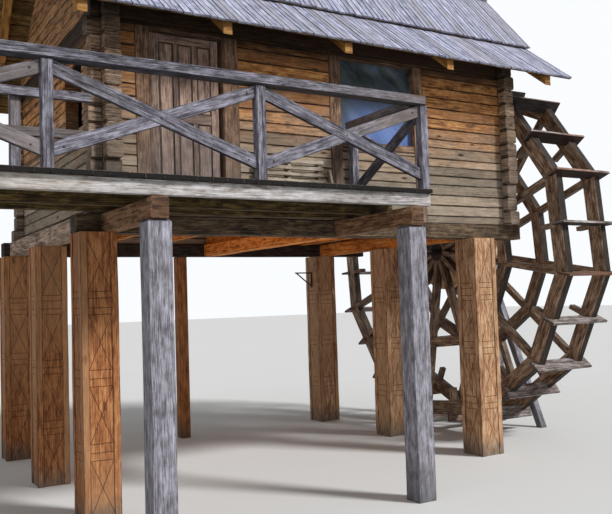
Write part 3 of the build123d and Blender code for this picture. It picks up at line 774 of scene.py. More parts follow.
class Bench:
    """One piece under way: its boards are gathered in a mesh that carries grain, tone and end marks."""

    def __init__(self, name: str) -> None:
        """Start an empty piece of that name; the name also seeds its chances."""
        self.name, self.chance, self.whole = name, random.Random(name), Blank()
        self.tray = bpy.data.meshes.new(f"{name}_tray")

    def take(self, blank: Blank) -> None:
        """Add a finished board to the piece.

        Args:
            blank: the board, which is used up.
        """
        blank.mesh.to_mesh(self.tray)
        blank.mesh.free()
        self.whole.mesh.from_mesh(self.tray)

    def shift(self) -> Vector:
        """Return a random place in the wood's figure."""
        return Vector((self.chance.uniform(0, 40), self.chance.uniform(0, 40)))

    def timber(self, size: Vector, place: Matrix, cut: Cut, tone: float | None, saws: Sequence[Saw]) -> None:
        """Add a board whose length is its own X.

        Args:
            size: length, width and depth.
            place: where its middle goes and how it is turned.
            cut: how it is worked.
            tone: its brightness, or None to pick one.
            saws: cuts that shape its ends.
        """
        blank = Blank()
        mesh = blank.mesh
        verts = bmesh.ops.create_cube(mesh, size=1.0)["verts"]
        bmesh.ops.scale(mesh, vec=size, verts=verts)
        picked = self.chance.uniform(*cut.tones) if tone is None else tone
        blank.mark(picked, 0, self.shift(), place if cut.carved else None, cut.face_tones)
        if cut.joints:
            lengthwise = [edge for edge in mesh.edges if abs(edge.verts[0].co.x - edge.verts[1].co.x) > size.x / 2]
            made = bmesh.ops.subdivide_edges(mesh, edges=lengthwise, cuts=cut.joints, use_grid_fill=True)
            seed = Vector([self.chance.uniform(-50, 50) for _ in range(3)])
            for item in made["geom_inner"]:
                if isinstance(item, BMVert):
                    item.co += noise.noise_vector(item.co * 1.6 + seed) * cut.sway
        bmesh.ops.transform(mesh, matrix=place, verts=mesh.verts)
        if all([blank.saw(stroke) for stroke in saws]):
            blank.ease(cut.arris, cut.facets)
            self.take(blank)

    def board(self, low: Sequence[float], high: Sequence[float], run: Run, cut: Cut = SAWN,
              tone: float | None = None, saws: Sequence[Saw] = ()) -> None:
        """Add a board that fills a box.

        Args:
            low: the box's lowest corner.
            high: its highest corner.
            run: the way the grain lies.
            cut: how it is worked.
            tone: its brightness, or None to pick one.
            saws: cuts that shape its ends.
        """
        low, high = Vector(low), Vector(high)
        axes = {Run.X: (0, 1, 2), Run.Y: (1, 0, 2), Run.Z: (2, 0, 1)}[run]
        turn = Matrix([[float(axes[column] == row) for column in range(3)] for row in range(3)])
        if turn.determinant() < 0:
            turn.col[2] = -turn.col[2]
        size = Vector([(high - low)[axis] for axis in axes])
        self.timber(size, Matrix.Translation((low + high) / 2) @ turn.to_4x4(), cut, tone, saws)

    def leg(self, start: Vector, finish: Vector, width: float, depth: float, side: Vector, cut: Cut = SAWN,
            tone: float | None = None, saws: Sequence[Saw] = ()) -> None:
        """Add a board between two points.

        Args:
            start: middle of one end.
            finish: middle of the other.
            width: its size along side.
            depth: its remaining size.
            side: the way its width faces.
            cut: how it is worked.
            tone: its brightness, or None to pick one.
            saws: cuts that shape its ends.
        """
        ahead = (finish - start).normalized()
        up = ahead.cross(side).normalized()
        turn = Matrix((ahead, up.cross(ahead), up)).transposed().to_4x4()
        size = Vector(((finish - start).length, width, depth))
        self.timber(size, Matrix.Translation((start + finish) / 2) @ turn, cut, tone, saws)

    def log_stub(self, low: Vector, high: Vector, run: Run) -> None:
        """Add a short log with rounded sides that fills a box.

        Args:
            low: the box's lowest corner.
            high: its highest corner.
            run: the way the grain lies.
        """
        blank = Blank()
        bmesh.ops.create_cube(blank.mesh, size=1.0)
        bmesh.ops.scale(blank.mesh, vec=high - low, verts=blank.mesh.verts)
        blank.mark(self.chance.random(), run.value, self.shift())
        bmesh.ops.translate(blank.mesh, vec=(low + high) / 2, verts=blank.mesh.verts)
        blank.ease(0.03, 3, along=run.value)
        blank.ease(0.006, 1, 1.2)
        self.take(blank)

    def turned(self, centre: Vector, span: tuple[float, float], radii: tuple[float, float], steps: int,
               arris: float, start: float = 0.0, sweep: float = 360.0, radial: bool = False) -> None:
        """Spin a rectangle about an X axis, as for a shaft, a collar or a wedge.

        Args:
            centre: where the axis passes.
            span: its ends along X, from the centre.
            radii: its inner and outer radius.
            steps: how many steps it is turned in.
            arris: bevel on its edges.
            start: first angle, from +Y towards +Z, in degrees.
            sweep: degrees turned.
            radial: whether the grain runs out from the axis.
        """
        whole = sweep >= 360.0
        blank = Blank()
        mesh = blank.mesh
        way = unit_from_axle(start)
        profile = [(end, radii[0]) for end in span] + [(end, radii[1]) for end in reversed(span)]
        corners = [mesh.verts.new(centre + Vector((along, 0, 0)) + way * radius) for along, radius in profile]
        face = mesh.faces.new(corners)
        if whole:
            mesh.faces.remove(face)
        bmesh.ops.spin(mesh, geom=[*mesh.faces, *mesh.edges, *mesh.verts], cent=centre, axis=RIGHT,
                       angle=radians(sweep), steps=steps, use_merge=whole, use_duplicate=False)
        if whole:
            bmesh.ops.remove_doubles(mesh, verts=mesh.verts, dist=0.00001)
        bmesh.ops.recalc_face_normals(mesh, faces=mesh.faces)
        tone, shift = self.chance.random(), self.chance.uniform(0, 40)
        for item in mesh.faces:
            middle = item.calc_center_median() - centre
            outward = Vector((0, middle.y, middle.z)).normalized()
            crosswise = abs(item.normal.x) < 0.3 and abs(item.normal.dot(outward)) < 0.3
            item[blank.tone], item[blank.end] = tone, float(crosswise and not radial)
            base = atan2(middle.z, middle.y)
            for loop in item.loops:
                offset = loop.vert.co - centre
                radius = hypot(offset.y, offset.z)
                bearing = base + ((atan2(offset.z, offset.y) - base + pi) % tau - pi)
                across = offset.x if abs(item.normal.x) < 0.5 else radius
                blank.lay(loop, (radius + shift, bearing * 0.5 + offset.x + shift) if radial
                          else (bearing * max(radius, 0.2) + shift, across + shift))
        blank.ease(arris, 1, 0.7)
        self.take(blank)

    def stud(self, centre: Vector, facing: Vector, radius: float = 0.011, height: float = 0.006) -> None:
        """Add a low domed bolt or nail head.

        Args:
            centre: its place on the surface that it is driven into.
            facing: the way out of that surface.
            radius: its radius.
            height: how far it stands proud.
        """
        blank = Blank()
        turn = facing.to_track_quat("Z", "Y").to_matrix().to_4x4()
        made = bmesh.ops.create_uvsphere(blank.mesh, u_segments=8, v_segments=4, radius=1.0)["verts"]
        bmesh.ops.scale(blank.mesh, vec=Vector((radius, radius, height)), verts=made)
        bmesh.ops.transform(blank.mesh, matrix=Matrix.Translation(centre) @ turn, verts=blank.mesh.verts)
        self.take(blank)

    def pin(self, low: Vector, high: Vector, radius: float) -> None:
        """Add an upright round pin.

        Args:
            low: middle of its foot.
            high: middle of its head.
            radius: its radius.
        """
        blank = Blank()
        bmesh.ops.create_cone(blank.mesh, cap_ends=True, segments=20, radius1=radius, radius2=radius,
                              depth=high.z - low.z, matrix=Matrix.Translation((low + high) / 2))
        blank.mark(0.3, 2, self.shift())
        self.take(blank)

    def done(self, finish: Coat, body: str, stands_for: Sequence[str]) -> None:
        """Turn the bench's mesh into a finished piece.

        Args:
            finish: what it is finished in.
            body: the body that it rides on.
            stands_for: the solids that it replaces.
        """
        mesh = self.whole.mesh
        mesh.normal_update()
        under = finish.under if isinstance(finish, Timber) else 0.0
        for face in mesh.faces:
            face.smooth = True
            # faces that look down lose tone: painted shade on undersides
            if face.normal.z < -0.5:
                face[self.whole.tone] -= under
        for edge in mesh.edges:
            edge.smooth = len(edge.link_faces) == 2 and edge.calc_face_angle(0.0) < radians(35)
        data = bpy.data.meshes.new(self.name)
        mesh.to_mesh(data)
        mesh.free()
        bpy.data.meshes.remove(self.tray)
        data.materials.append(finish.made())
        piece = bpy.data.objects.new(self.name, data)
        bpy.context.collection.objects.link(piece)
        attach(piece, body)
        if stands_for:
            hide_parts(*stands_for)
        log.info("%s: %d faces, rides on %s", self.name, len(data.polygons), body)


# Sub-assemblies


@dataclass
class Assembly:
    """What every sub-assembly shares.

    Attributes:
        body: the body that its pieces ride on.
    """

    frame: dict[str, Any]
    body: str = "house"

    @contextmanager
    def piece(self, name: str, finish: Finish, *stands_for: str, body: str = "") -> Iterator[Bench]:
        """Open a bench for one piece, and finish the piece when the block ends.

        Args:
            name: the piece's name.
            finish: what it is finished in.
            stands_for: the solids that it replaces.
            body: the body that it rides on, where it isn't the assembly's.

        Yields:
            The bench.
        """
        bench = Bench(name)
        yield bench
        bench.done(finish.value, body or self.body, stands_for)

    def solids(self, node: str) -> list[Box]:
        """Find the box of each separate solid in a node.

        Args:
            node: the node's name.

        Returns:
            Lowest and highest corner of each solid, from the lowest corner up.
        """
        mesh = bmesh.new()
        mesh.from_mesh(self.frame["nodes"][node].data)
        bmesh.ops.remove_doubles(mesh, verts=mesh.verts, dist=0.00002)
        left, boxes = set(mesh.verts), []
        while left:
            part = linked(next(iter(left)))
            left -= part
            boxes.append(tuple(Vector([pick(vert.co[axis] for vert in part) for axis in range(3)])
                               for pick in (min, max)))
        mesh.free()
        return sorted(boxes, key=lambda box: tuple(round(value, 3) for value in box[0]))

    def beams(self, node: str, finish: Finish, cut: Cut = HEWN, name: str = "", some: slice = slice(None),
              body: str = "") -> None:
        """Stand squared timbers in for a node made of plain beams.

        Args:
            node: the node.
            finish: the wood.
            cut: how the timbers are worked.
            name: the piece's name without its ending, where it isn't the node's.
            some: which of the node's solids are meant.
            body: the body that it rides on, where it isn't the assembly's.
        """
        with self.piece(f"{name or node}_timber", finish, node, body=body) as bench:
            for low, high in self.solids(node)[some]:
                bench.board(low, high, longest(low, high), cut)


@dataclass
class Foundations(Assembly):
    """Box piers, posts and the timbers that lie on them.

    Attributes:
        corner_board: width of the raised boards at a pier's corners.
        recess: how far its panels lie behind them.
        panel_depth: thickness of a panel board.
        floor_board: narrowest and widest floor board.
    """

    corner_board: float = 0.075
    recess: float = 0.010
    panel_depth: float = 0.022
    floor_board: tuple[float, float] = (0.16, 0.22)

    def build(self) -> None:
        """Build the piers, posts, sills, girders, joists and floor; the open left girder is greyed by weather."""
        self.piers("left_piers", Finish.PIER)
        self.piers("right_piers", Finish.PIER_SUNLIT)
        self.beams("back_post", Finish.PIER)
        self.sills()
        self.beams("floor_girders", Finish.OUTER_GIRDER, name="outer_girder", some=slice(0, 1))
        self.beams("floor_girders", Finish.FRESH_BOUNCE_LIT, name="inner_girders", some=slice(1, None))
        self.beams("floor_joists", Finish.FRESH_BOUNCE_LIT, PLANK)
        self.floor()
        self.bracket()

    def piers(self, node: str, finish: Finish) -> None:
        """Board the piers of one side: four corner boards and four panels round each.

        Args:
            node: the piers' node.
            finish: the wood.
        """
        edge = Cut(joints=9, sway=0.007, tones=(0.25, 1.0))
        panel = Cut(arris=0.002, carved=True)
        inset, lap = Vector((self.recess, self.recess, 0)), self.corner_board * 0.8
        with self.piece(f"{node}_boards", finish, node) as bench:
            for low, high in self.solids(node):
                for x in (low.x, high.x - self.corner_board):
                    for y in (low.y, high.y - self.corner_board):
                        bench.board((x, y, low.z), (x + self.corner_board, y + self.corner_board, high.z), Run.Z,
                                    edge)
                for axis, side in ((0, BACK), (1, RIGHT)):
                    for near in (True, False):
                        first, last = low + inset, high - inset
                        first[1 - axis] += lap
                        last[1 - axis] -= lap
                        if near:
                            last[axis] = first[axis] + self.panel_depth
                        else:
                            first[axis] = last[axis] - self.panel_depth
                        foot = (first + last) / 2
                        head = foot.copy()
                        foot.z, head.z = first.z, last.z
                        bench.leg(foot, head, (last - first)[1 - axis], self.panel_depth, side, panel,
                                  bench.chance.uniform(0.1, 0.9))

    def sills(self) -> None:
        """Lay the front and back cross sills, the back one near-black."""
        front, back = self.solids("cross_sills")
        with self.piece("front_sill", Finish.BEAM, "cross_sills") as bench:
            bench.board(*front, Run.X, HEWN, 0.45)
        with self.piece("back_sill", Finish.BACK_SILL) as bench:
            bench.board(*back, Run.X, HEWN, 0.3)

    def floor(self) -> None:
        """Lay the floor boards side by side."""
        low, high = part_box("floor_boards")
        place, narrowest, gap = low.y, self.floor_board[0], 0.004
        with self.piece("floor_planks", Finish.FRESH_BOUNCE_LIT, "floor_boards") as bench:
            while high.y - place > 0.02:
                width = bench.chance.uniform(*self.floor_board)
                if high.y - place - width < narrowest * 0.6:
                    width = high.y - place
                bench.board((low.x, place, low.z), (high.x, place + width - gap, high.z), Run.X, PLANK)
                place += width

    def bracket(self) -> None:
        """Forge the small bracket on the back pier from three square bars."""
        low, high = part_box("iron_bracket")
        bar, middle = high.y - low.y, (low.y + high.y) / 2
        with self.piece("bracket_bars", Finish.IRON, "iron_bracket") as bench:
            bench.board((high.x - bar, low.y, low.z), high, Run.Z, SLAT)
            bench.board((low.x, low.y, high.z - bar), (high.x - bar, high.y, high.z), Run.X, SLAT)
            bench.leg(Vector((high.x - bar / 2, middle, low.z + bar)), Vector((low.x + bar, middle, high.z - bar / 2)),
                      bar * 0.9, bar * 0.9, BACK, SLAT)


@dataclass
class Gallery(Assembly):
    """The walk in front of the house, with its posts, deck and railings.

    Attributes:
        shoulder: bevel at the tops of the big posts.
        brace_width: width of the crossing braces.
        brace_depth: their thickness.
        brace_past: how far they are cut over length before they are sawn.
        foot: how far the braces start above the deck.
        stud_inset: how far bolts stand in from a bay's corners.
        rear_post: width of the rear railing's posts.
        rear_rail: height of its rails.
        rear_levels: their tops above the deck.
    """

    shoulder: float = 0.028
    brace_width: float = 0.125
    brace_depth: float = 0.045
    brace_past: float = 0.12
    foot: float = 0.110
    stud_inset: float = 0.09
    rear_post: float = 0.100
    rear_rail: float = 0.095
    rear_levels: tuple[float, float] = (0.640, 1.040)

    def build(self) -> None:
        """Build the gallery from the ground up."""
        with self.piece("gallery_studs", Finish.NAIL) as self.studs:
            self.big_posts()
            self.beams("gallery_cross_beams", Finish.BEARER)
            self.beams("gallery_ledgers", Finish.LEDGER)
            self.beams("gallery_fascia", Finish.FASCIA, PLANK)
            self.deck()
            self.beams("rail_posts", Finish.RAIL, PLANK)
            self.beams("top_rail", Finish.RAIL)
            for bay in ("right", "middle", "left"):
                self.bay(f"{bay}_brace_panel")
            self.return_side()
            self.rear()

    def big_posts(self) -> None:
        """Hew the grey posts, with sloping shoulders under the cross beams."""
        hewn = Cut(arris=0.012, facets=2, joints=7, sway=0.006)
        with self.piece("gallery_posts_timber", Finish.POST, "gallery_posts") as bench:
            for low, high in self.solids("gallery_posts"):
                shoulders = []
                for axis in (0, 1):
                    for face, side in ((low, -1), (high, 1)):
                        point, waste = Vector((0, 0, high.z - self.shoulder)), Vector((0, 0, 1))
                        point[axis], waste[axis] = face[axis], side
                        shoulders.append(Saw(point, waste))
                bench.board(low, high, Run.Z, hewn, saws=shoulders)

    def deck(self) -> None:
        """Lay the deck boards from the rail back to the wall, their ends ragged along the front."""
        low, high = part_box("gallery_deck")
        wall_left, notch_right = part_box("left_wall")[0].x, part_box("front_wall_left")[0].x
        ends_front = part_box("corner_log_ends")[0].y
        # the planks' undersides get a much lower tone: painted shade under the deck
        planks = Cut(joints=3, sway=0.004, face_tones=((3, -1.2),))
        place = low.x
        with self.piece("deck_planks", Finish.DECK, "gallery_deck") as bench:
            while high.x - place > 0.03:
                width = min(bench.chance.uniform(0.13, 0.19), high.x - place)
                notched = place + width > wall_left and place < notch_right
                front = low.y + bench.chance.uniform(0.0, 0.012)
                bench.board((place, front, low.z),
                            (place + width - 0.006, ends_front - 0.001 if notched else high.y, high.z), Run.Y, planks)
                place += width

    def crossing(self, bench: Bench, low: Vector, high: Vector, run: Run, mirrored: bool) -> None:
        """Cross two braces in a bay, the second let into the first.

        Args:
            bench: the piece under way.
            low: lowest corner of the bay's braces.
            high: highest corner.
            run: the way along the bay.
            mirrored: whether the full brace rises instead of falls.
        """
        along, side = run.value, 1 - run.value
        length, rise = high[along] - low[along], high.z - low.z
        half = self.brace_width / 2 / cos(atan2(rise - self.brace_width, length))
        facing = Vector()
        facing[side] = 1.0
        ends = (square_cut(along, low[along], -1.0), square_cut(along, high[along], 1.0))
        for order, falls in enumerate((not mirrored, mirrored)):
            start = (low + high) / 2
            finish = start.copy()
            start[along], finish[along] = low[along] - self.brace_past, high[along] + self.brace_past
            first, last = (high.z - half, low.z + half) if falls else (low.z + half, high.z - half)
            tilt = (last - first) / length
            start.z, finish.z = first - tilt * self.brace_past, last + tilt * self.brace_past
            bench.leg(start, finish, self.brace_depth - 0.006 * order, self.brace_width, facing,
                      Cut(joints=4, sway=0.003), saws=ends)

    def bay(self, node: str) -> None:
        """Brace one bay of the front railing, with bolt heads at its joints.

        Args:
            node: the bay's node.
        """
        low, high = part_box(node)
        with self.piece(f"{node}_boards", Finish.RAIL, node) as bench:
            self.crossing(bench, low, high, Run.X, False)
        middle = (low + high) / 2
        for x in (low.x + self.stud_inset, middle.x, high.x - self.stud_inset):
            for z in (low.z + self.stud_inset, middle.z, high.z - self.stud_inset):
                if (x == middle.x) == (z == middle.z):
                    self.studs.stud(Vector((x, middle.y - self.brace_depth / 2, z)), FRONT)

    def return_side(self) -> None:
        """Carry the railing back to the wall at the right-hand end."""
        low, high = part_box("return_railing")
        post_low, post_high = self.solids("rail_posts")[-1]
        rail_low, rail_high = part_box("top_rail")
        post = post_high.x - post_low.x
        middle = (low.x + high.x) / 2
        first = Vector((middle - self.brace_depth / 2, post_high.y, low.z + self.foot))
        last = Vector((middle + self.brace_depth / 2, high.y - post, rail_low.z))
        with self.piece("return_railing_boards", Finish.RAIL, "return_railing") as bench:
            bench.board((low.x, rail_high.y, rail_low.z), high, Run.Y, PLANK)
            bench.board((post_low.x, high.y - post, low.z), (post_high.x, high.y, rail_low.z), Run.Z, PLANK)
            self.crossing(bench, first, last, Run.Y, True)

    def rear(self) -> None:
        """Rail the back edge of the deck, left of the house."""
        low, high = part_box("rear_railing")
        face, half = high.y - self.rear_post, self.rear_post / 2
        with self.piece("rear_railing_boards", Finish.RAIL, "rear_railing") as bench:
            for post_low, post_high in self.solids("rail_posts")[:2]:
                middle = (post_low.x + post_high.x) / 2
                bench.board((middle - half, face, low.z), (middle + half, high.y, high.z), Run.Z, PLANK)
            for level in self.rear_levels:
                top = low.z + level
                bench.board((low.x, low.y, top - self.rear_rail), (high.x, face, top), Run.X, PLANK)


@dataclass
class House(Assembly):
    """Log walls, notched corners, door and window frames, and gables.

    Attributes:
        courses: thinnest and thickest plank of a wall.
        wander: how far a plank's face stands behind the wall's.
        log_height: height of one notched log at the corners.
        hole: the left wall's window: near and far edge from the front, sill and head.
        gable_foot: height of a gable's upright edge.
        sheet_steps: divisions of the window sheet across and up.
        slats: how many slats the rack has.
        slat: their height, and the width of its bars.
    """

    courses: tuple[float, float] = (0.105, 0.165)
    wander: float = 0.007
    log_height: float = 0.195
    hole: tuple[float, float, float, float] = (0.8, 1.55, 4.3, 5.08)
    gable_foot: float = 0.1523
    sheet_steps: tuple[int, int] = (56, 48)
    slats: int = 7
    slat: float = 0.045

    def build(self) -> None:
        """Build the walls from the sill up to the gables."""
        self.levels = self.course_levels()
        walls = {node: [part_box(node)] for node in (
            "front_wall_left", "front_wall_middle", "front_wall_right", "front_wall_top", "front_wall_under_window",
            "right_wall", "back_wall")}
        walls["left_wall"] = self.left_wall_parts()
        for node, boxes in walls.items():
            with self.piece(f"{node}_planks", Finish.WALL, node) as bench:
                for low, high in boxes:
                    self.stack(bench, low, high)
        # a near-black block inside the walls behind the gaps between courses: painted shade in the seams
        with self.piece("wall_chinking", Finish.CHINKING) as bench:
            depth = Vector((0.02, 0.02, 0.0))
            for low, high in sum(walls.values(), []):
                bench.board(low + depth, high - depth, longest(low, high, 2), Cut(arris=0.0), 0.0)
        self.corners()
        self.frames()
        self.window_sheet()
        for side in ("left", "right"):
            self.gable(f"{side}_gable")
        self.rack()

    def course_levels(self) -> list[float]:
        """Pick the heights of the seams, shared by all the walls.

        Returns:
            The heights, from the sill up.
        """
        low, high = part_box("right_wall")
        chance = random.Random("courses")
        levels = [low.z]
        while high.z - levels[-1] > self.courses[1]:
            levels.append(levels[-1] + chance.uniform(*self.courses))
        return [*levels, high.z]

    def stack(self, bench: Bench, low: Vector, high: Vector) -> None:
        """Stack planks in a box of wall.

        Args:
            bench: the piece under way.
            low: the box's lowest corner.
            high: its highest corner.
        """
        run = longest(low, high, 2)
        thin = 1 - run.value
        for below, above in zip(self.levels, self.levels[1:]):
            bottom, top = max(below, low.z), min(above, high.z)
            if top - bottom < 0.012:
                continue
            first, last = low.copy(), high.copy()
            first.z, last.z = bottom + 0.003, top - 0.003
            first[thin] += bench.chance.uniform(0.002, self.wander)
            last[thin] -= bench.chance.uniform(0.002, self.wander)
            bench.board(first, last, run, Cut(arris=0.007, joints=5, sway=0.005))

    def left_wall_parts(self) -> list[Box]:
        """Part the left wall round its window hole.

        Returns:
            The boxes below, before, behind and above the hole.
        """
        low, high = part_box("left_wall")
        near, far, sill, head = low.y + self.hole[0], low.y + self.hole[1], self.hole[2], self.hole[3]
        return [(Vector((low.x, first, bottom)), Vector((high.x, last, top))) for first, last, bottom, top in (
            (low.y, high.y, low.z, sill), (low.y, near, sill, head), (far, high.y, sill, head),
            (low.y, high.y, head, high.z))]

    def corners(self) -> None:
        """Stack the ends of the notched logs at each corner, some sawn shorter than others."""
        with self.piece("corner_log_stubs", Finish.LOG_END, "corner_log_ends") as bench:
            for low, high in self.solids("corner_log_ends"):
                size = high - low
                run = Run.X if size.x < size.y else Run.Y
                count = round(size.z / self.log_height)
                tall = size.z / count
                for index in range(count):
                    first, last = low.copy(), high.copy()
                    first.z = low.z + index * tall + 0.004
                    last.z = first.z + tall - 0.008
                    pull = bench.chance.choice((0.0, 0.0, 0.1, 0.18, 0.26)) * size[run.value]
                    if low[run.value] < 0:
                        first[run.value] += pull
                    else:
                        last[run.value] -= pull
                    bench.log_stub(first, last, run)

    def frames(self) -> None:
        """Frame the doorway and the window."""
        self.beams("door_posts", Finish.POST_WARM)
        self.beams("door_head", Finish.POST_WARM, PLANK)
        self.beams("door_threshold", Finish.POST_WARM, PLANK)
        low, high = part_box("window_frame")
        left, right = (corner.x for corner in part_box("window_sheet"))
        sill, head = (corner.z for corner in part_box("window_sheet"))
        front, back = low.y + 0.012, high.y - 0.012
        with self.piece("window_frame_timber", Finish.POST_WARM, "window_frame") as bench:
            bench.board(low, (left, high.y, high.z), Run.Z, HEWN)
            bench.board((right, low.y, low.z), high, Run.Z, HEWN)
            bench.board((left, front, sill - 0.09), (right, back, sill), Run.X, PLANK)
            bench.board((left, front, head), (right, back, high.z), Run.X, PLANK)

    def window_sheet(self) -> None:
        """Hang the plastic sheet in the window, with slanting folds."""
        low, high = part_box("window_sheet")
        width, height = high.x - low.x, high.z - low.z
        turn = Matrix.Rotation(radians(90), 4, "X")
        scale = Matrix.Diagonal((width / 2, height / 2, 1.0, 1.0))
        name = "window_film_sheet"
        with self.piece(name, Finish.FILM, "window_sheet") as bench:
            mesh = bench.whole.mesh
            bmesh.ops.create_grid(mesh, x_segments=self.sheet_steps[0], y_segments=self.sheet_steps[1], size=1.0,
                                  matrix=Matrix.Translation((low + high) / 2) @ turn @ scale)
            for vert in mesh.verts:
                across, up = (vert.co.x - low.x) / width, (vert.co.z - low.z) / height
                held = min(across, 1 - across, 1 - up, 0.12) / 0.12
                fold = sin((across + up * 0.55) * 17.0 + 2.0 * noise.noise(Vector((across * 3, up * 3, 1.0))))
                billow = noise.noise(Vector((across * 2.2, up * 2.6, 7.0)))
                vert.co.y += held * (fold * 0.007 + billow * 0.022)
            for face in mesh.faces:
                face[bench.whole.tone] = 0.5
                for loop in face.loops:
                    co = loop.vert.co
                    loop[bench.whole.grain].uv = ((co.x - low.x) / width, (co.z - low.z) / height)

    def gable(self, node: str) -> None:
        """Board a gable in courses, each sawn to the slope of the roof.

        Args:
            node: the gable's node.
        """
        low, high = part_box(node)
        foot_z = low.z + self.gable_foot
        saws = []
        for edge_y, side in ((low.y, -1.0), (high.y, 1.0)):
            for pitch, y, z in ((LOWER_PITCH, edge_y, foot_z),
                                (UPPER_PITCH, edge_y - side * BREAK_IN, foot_z + BREAK_IN * tan(LOWER_PITCH))):
                saws.append(Saw(Vector((0, y, z)), Vector((0, side * sin(pitch), cos(pitch)))))
        place = low.z
        with self.piece(f"{node}_planks", Finish.GABLE, node) as bench:
            while high.z - place > 0.03:
                tall = min(bench.chance.uniform(0.12, 0.17), high.z - place)
                bench.board((low.x, low.y, place + 0.0015), (high.x, high.y, place + tall - 0.0015), Run.Y,
                            saws=saws)
                place += tall

    def rack(self) -> None:
        """Set the slatted rack and the short stick against the wall."""
        low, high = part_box("slat_rack")
        bar, half = self.slat, self.slat / 2
        step = (high.z - low.z - bar) / (self.slats - 1)
        with self.piece("slat_rack_slats", Finish.RACK, "slat_rack") as bench:
            for middle in (low.x + bar, (low.x + high.x) / 2, high.x - bar):
                bench.board((middle - half, high.y - bar, low.z), (middle + half, high.y, high.z), Run.Z, SLAT)
            for index in range(self.slats):
                bottom = low.z + index * step
                bench.board((low.x, low.y, bottom), (high.x, low.y + 0.020, bottom + bar), Run.X, SLAT)
        low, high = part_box("leaning_stick")
        thick, middle = high.y - low.y, (low.y + high.y) / 2
        with self.piece("leaning_stick_bar", Finish.RACK, "leaning_stick") as bench:
            bench.leg(Vector((high.x - thick / 2, middle, low.z - 0.03)),
                      Vector((low.x + thick / 2, middle, high.z + 0.03)), thick, thick, BACK, SLAT,
                      saws=(square_cut(2, low.z, -1.0), square_cut(2, high.z, 1.0)))


@dataclass
class Door(Assembly):
    """The panelled leaf that turns on wooden pivots.

    Attributes:
        thick: the leaf's thickness.
        pivot: how far its pivots stand out above and below.
        pivot_radius: their radius.
        stile: width of the outer stiles and rails.
        muntin: width of the stiles between panels.
        recess: how far the panels lie back.
        bevel: width of the sunk field round a panel's middle.
        columns: panels side by side.
        lock: height of the lock rail's middle above the foot.
        lock_rail: its height.
    """

    body: str = "door"
    thick: float = 0.050
    pivot: float = 0.032
    pivot_radius: float = 0.0139
    stile: float = 0.095
    muntin: float = 0.060
    recess: float = 0.012
    bevel: float = 0.013
    columns: int = 3
    lock: float = 0.880
    lock_rail: float = 0.110

    def build(self) -> None:
        """Join the leaf, turn its pivots and fit its latch."""
        low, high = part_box("door_leaf")
        front, back = high.y - self.thick, high.y
        foot, head = low.z + self.pivot, high.z - self.pivot
        left, right = low.x + self.thick / 2 + self.stile, high.x - self.stile
        lock_low = foot + self.lock - self.lock_rail / 2
        lock_high = lock_low + self.lock_rail
        with self.piece("door_leaf_joinery", Finish.DOOR, "door_leaf") as bench:
            bench.board((low.x + 0.002, front, foot), (left, back, head), Run.Z,
                        Cut(arris=0.012, facets=2, joints=3, sway=0.001))
            bench.board((right, front, foot), (high.x, back, head), Run.Z, PLANK_FINE)
            for bottom, top in ((foot, foot + self.stile), (lock_low, lock_high), (head - self.stile, head)):
                bench.board((left, front + 0.001, bottom), (right, back - 0.001, top), Run.X, PLANK_FINE)
            panel = (right - left - (self.columns - 1) * self.muntin) / self.columns
            for column in range(self.columns):
                start = left + column * (panel + self.muntin)
                end = start + panel
                for bottom, top in ((foot + self.stile, lock_low), (lock_high, head - self.stile)):
                    self.panel(bench, Vector((start, front, bottom)), Vector((end, back, top)))
                    if column < self.columns - 1:
                        bench.board((end, front + 0.001, bottom), (end + self.muntin, back - 0.001, top), Run.Z,
                                    PLANK_FINE)
        x, y = low.x + self.thick / 2, (front + back) / 2
        with self.piece("door_pivots", Finish.DOOR) as bench:
            for bottom, top in ((low.z, foot), (head, high.z)):
                bench.pin(Vector((x, y, bottom)), Vector((x, y, top)), self.pivot_radius)
        self.latch(low.y, right, lock_high + 0.18, front)

    def panel(self, bench: Bench, low: Vector, high: Vector) -> None:
        """Add one fielded panel: a sunk field with a raised middle.

        Args:
            bench: the piece under way.
            low: lowest corner of its opening.
            high: highest corner.
        """
        sunk, raised = Vector((0, self.recess, 0)), Vector((self.bevel, self.recess - 0.006, self.bevel))
        # the sunk field gets a much lower tone than the raised middle: painted shade in the recess
        bench.board(low + sunk, high - sunk, Run.Z, Cut(arris=0.001), -0.9)
        bench.board(low + raised, high - raised, Run.Z, Cut(arris=0.005), bench.chance.uniform(0.6, 1.0))

    def latch(self, foremost: float, edge: float, middle: float, front: float) -> None:
        """Fit the black latch: a back plate, a keeper and a grip.

        Args:
            foremost: how far forward its grip stands, along Y.
            edge: the lock stile's inner edge, along X.
            middle: its height.
            front: the leaf's face, along Y.
        """
        with self.piece("door_latch", Finish.IRON) as bench:
            for left, right, near, far, half, run in (
                (0.034, self.stile - 0.018, front - 0.004, front + 0.001, 0.055, Run.Z),
                (0.042, 0.062, foremost + 0.002, front, 0.012, Run.Y),
                (0.036, 0.070, foremost, foremost + 0.010, 0.028, Run.Z),
            ):
                bench.board((edge + left, near, middle - half), (edge + right, far, middle + half), run, SLAT)
            for height in (-0.045, 0.045):
                bench.stud(Vector((edge + 0.058, front - 0.004, middle + height)), FRONT, 0.007, 0.004)


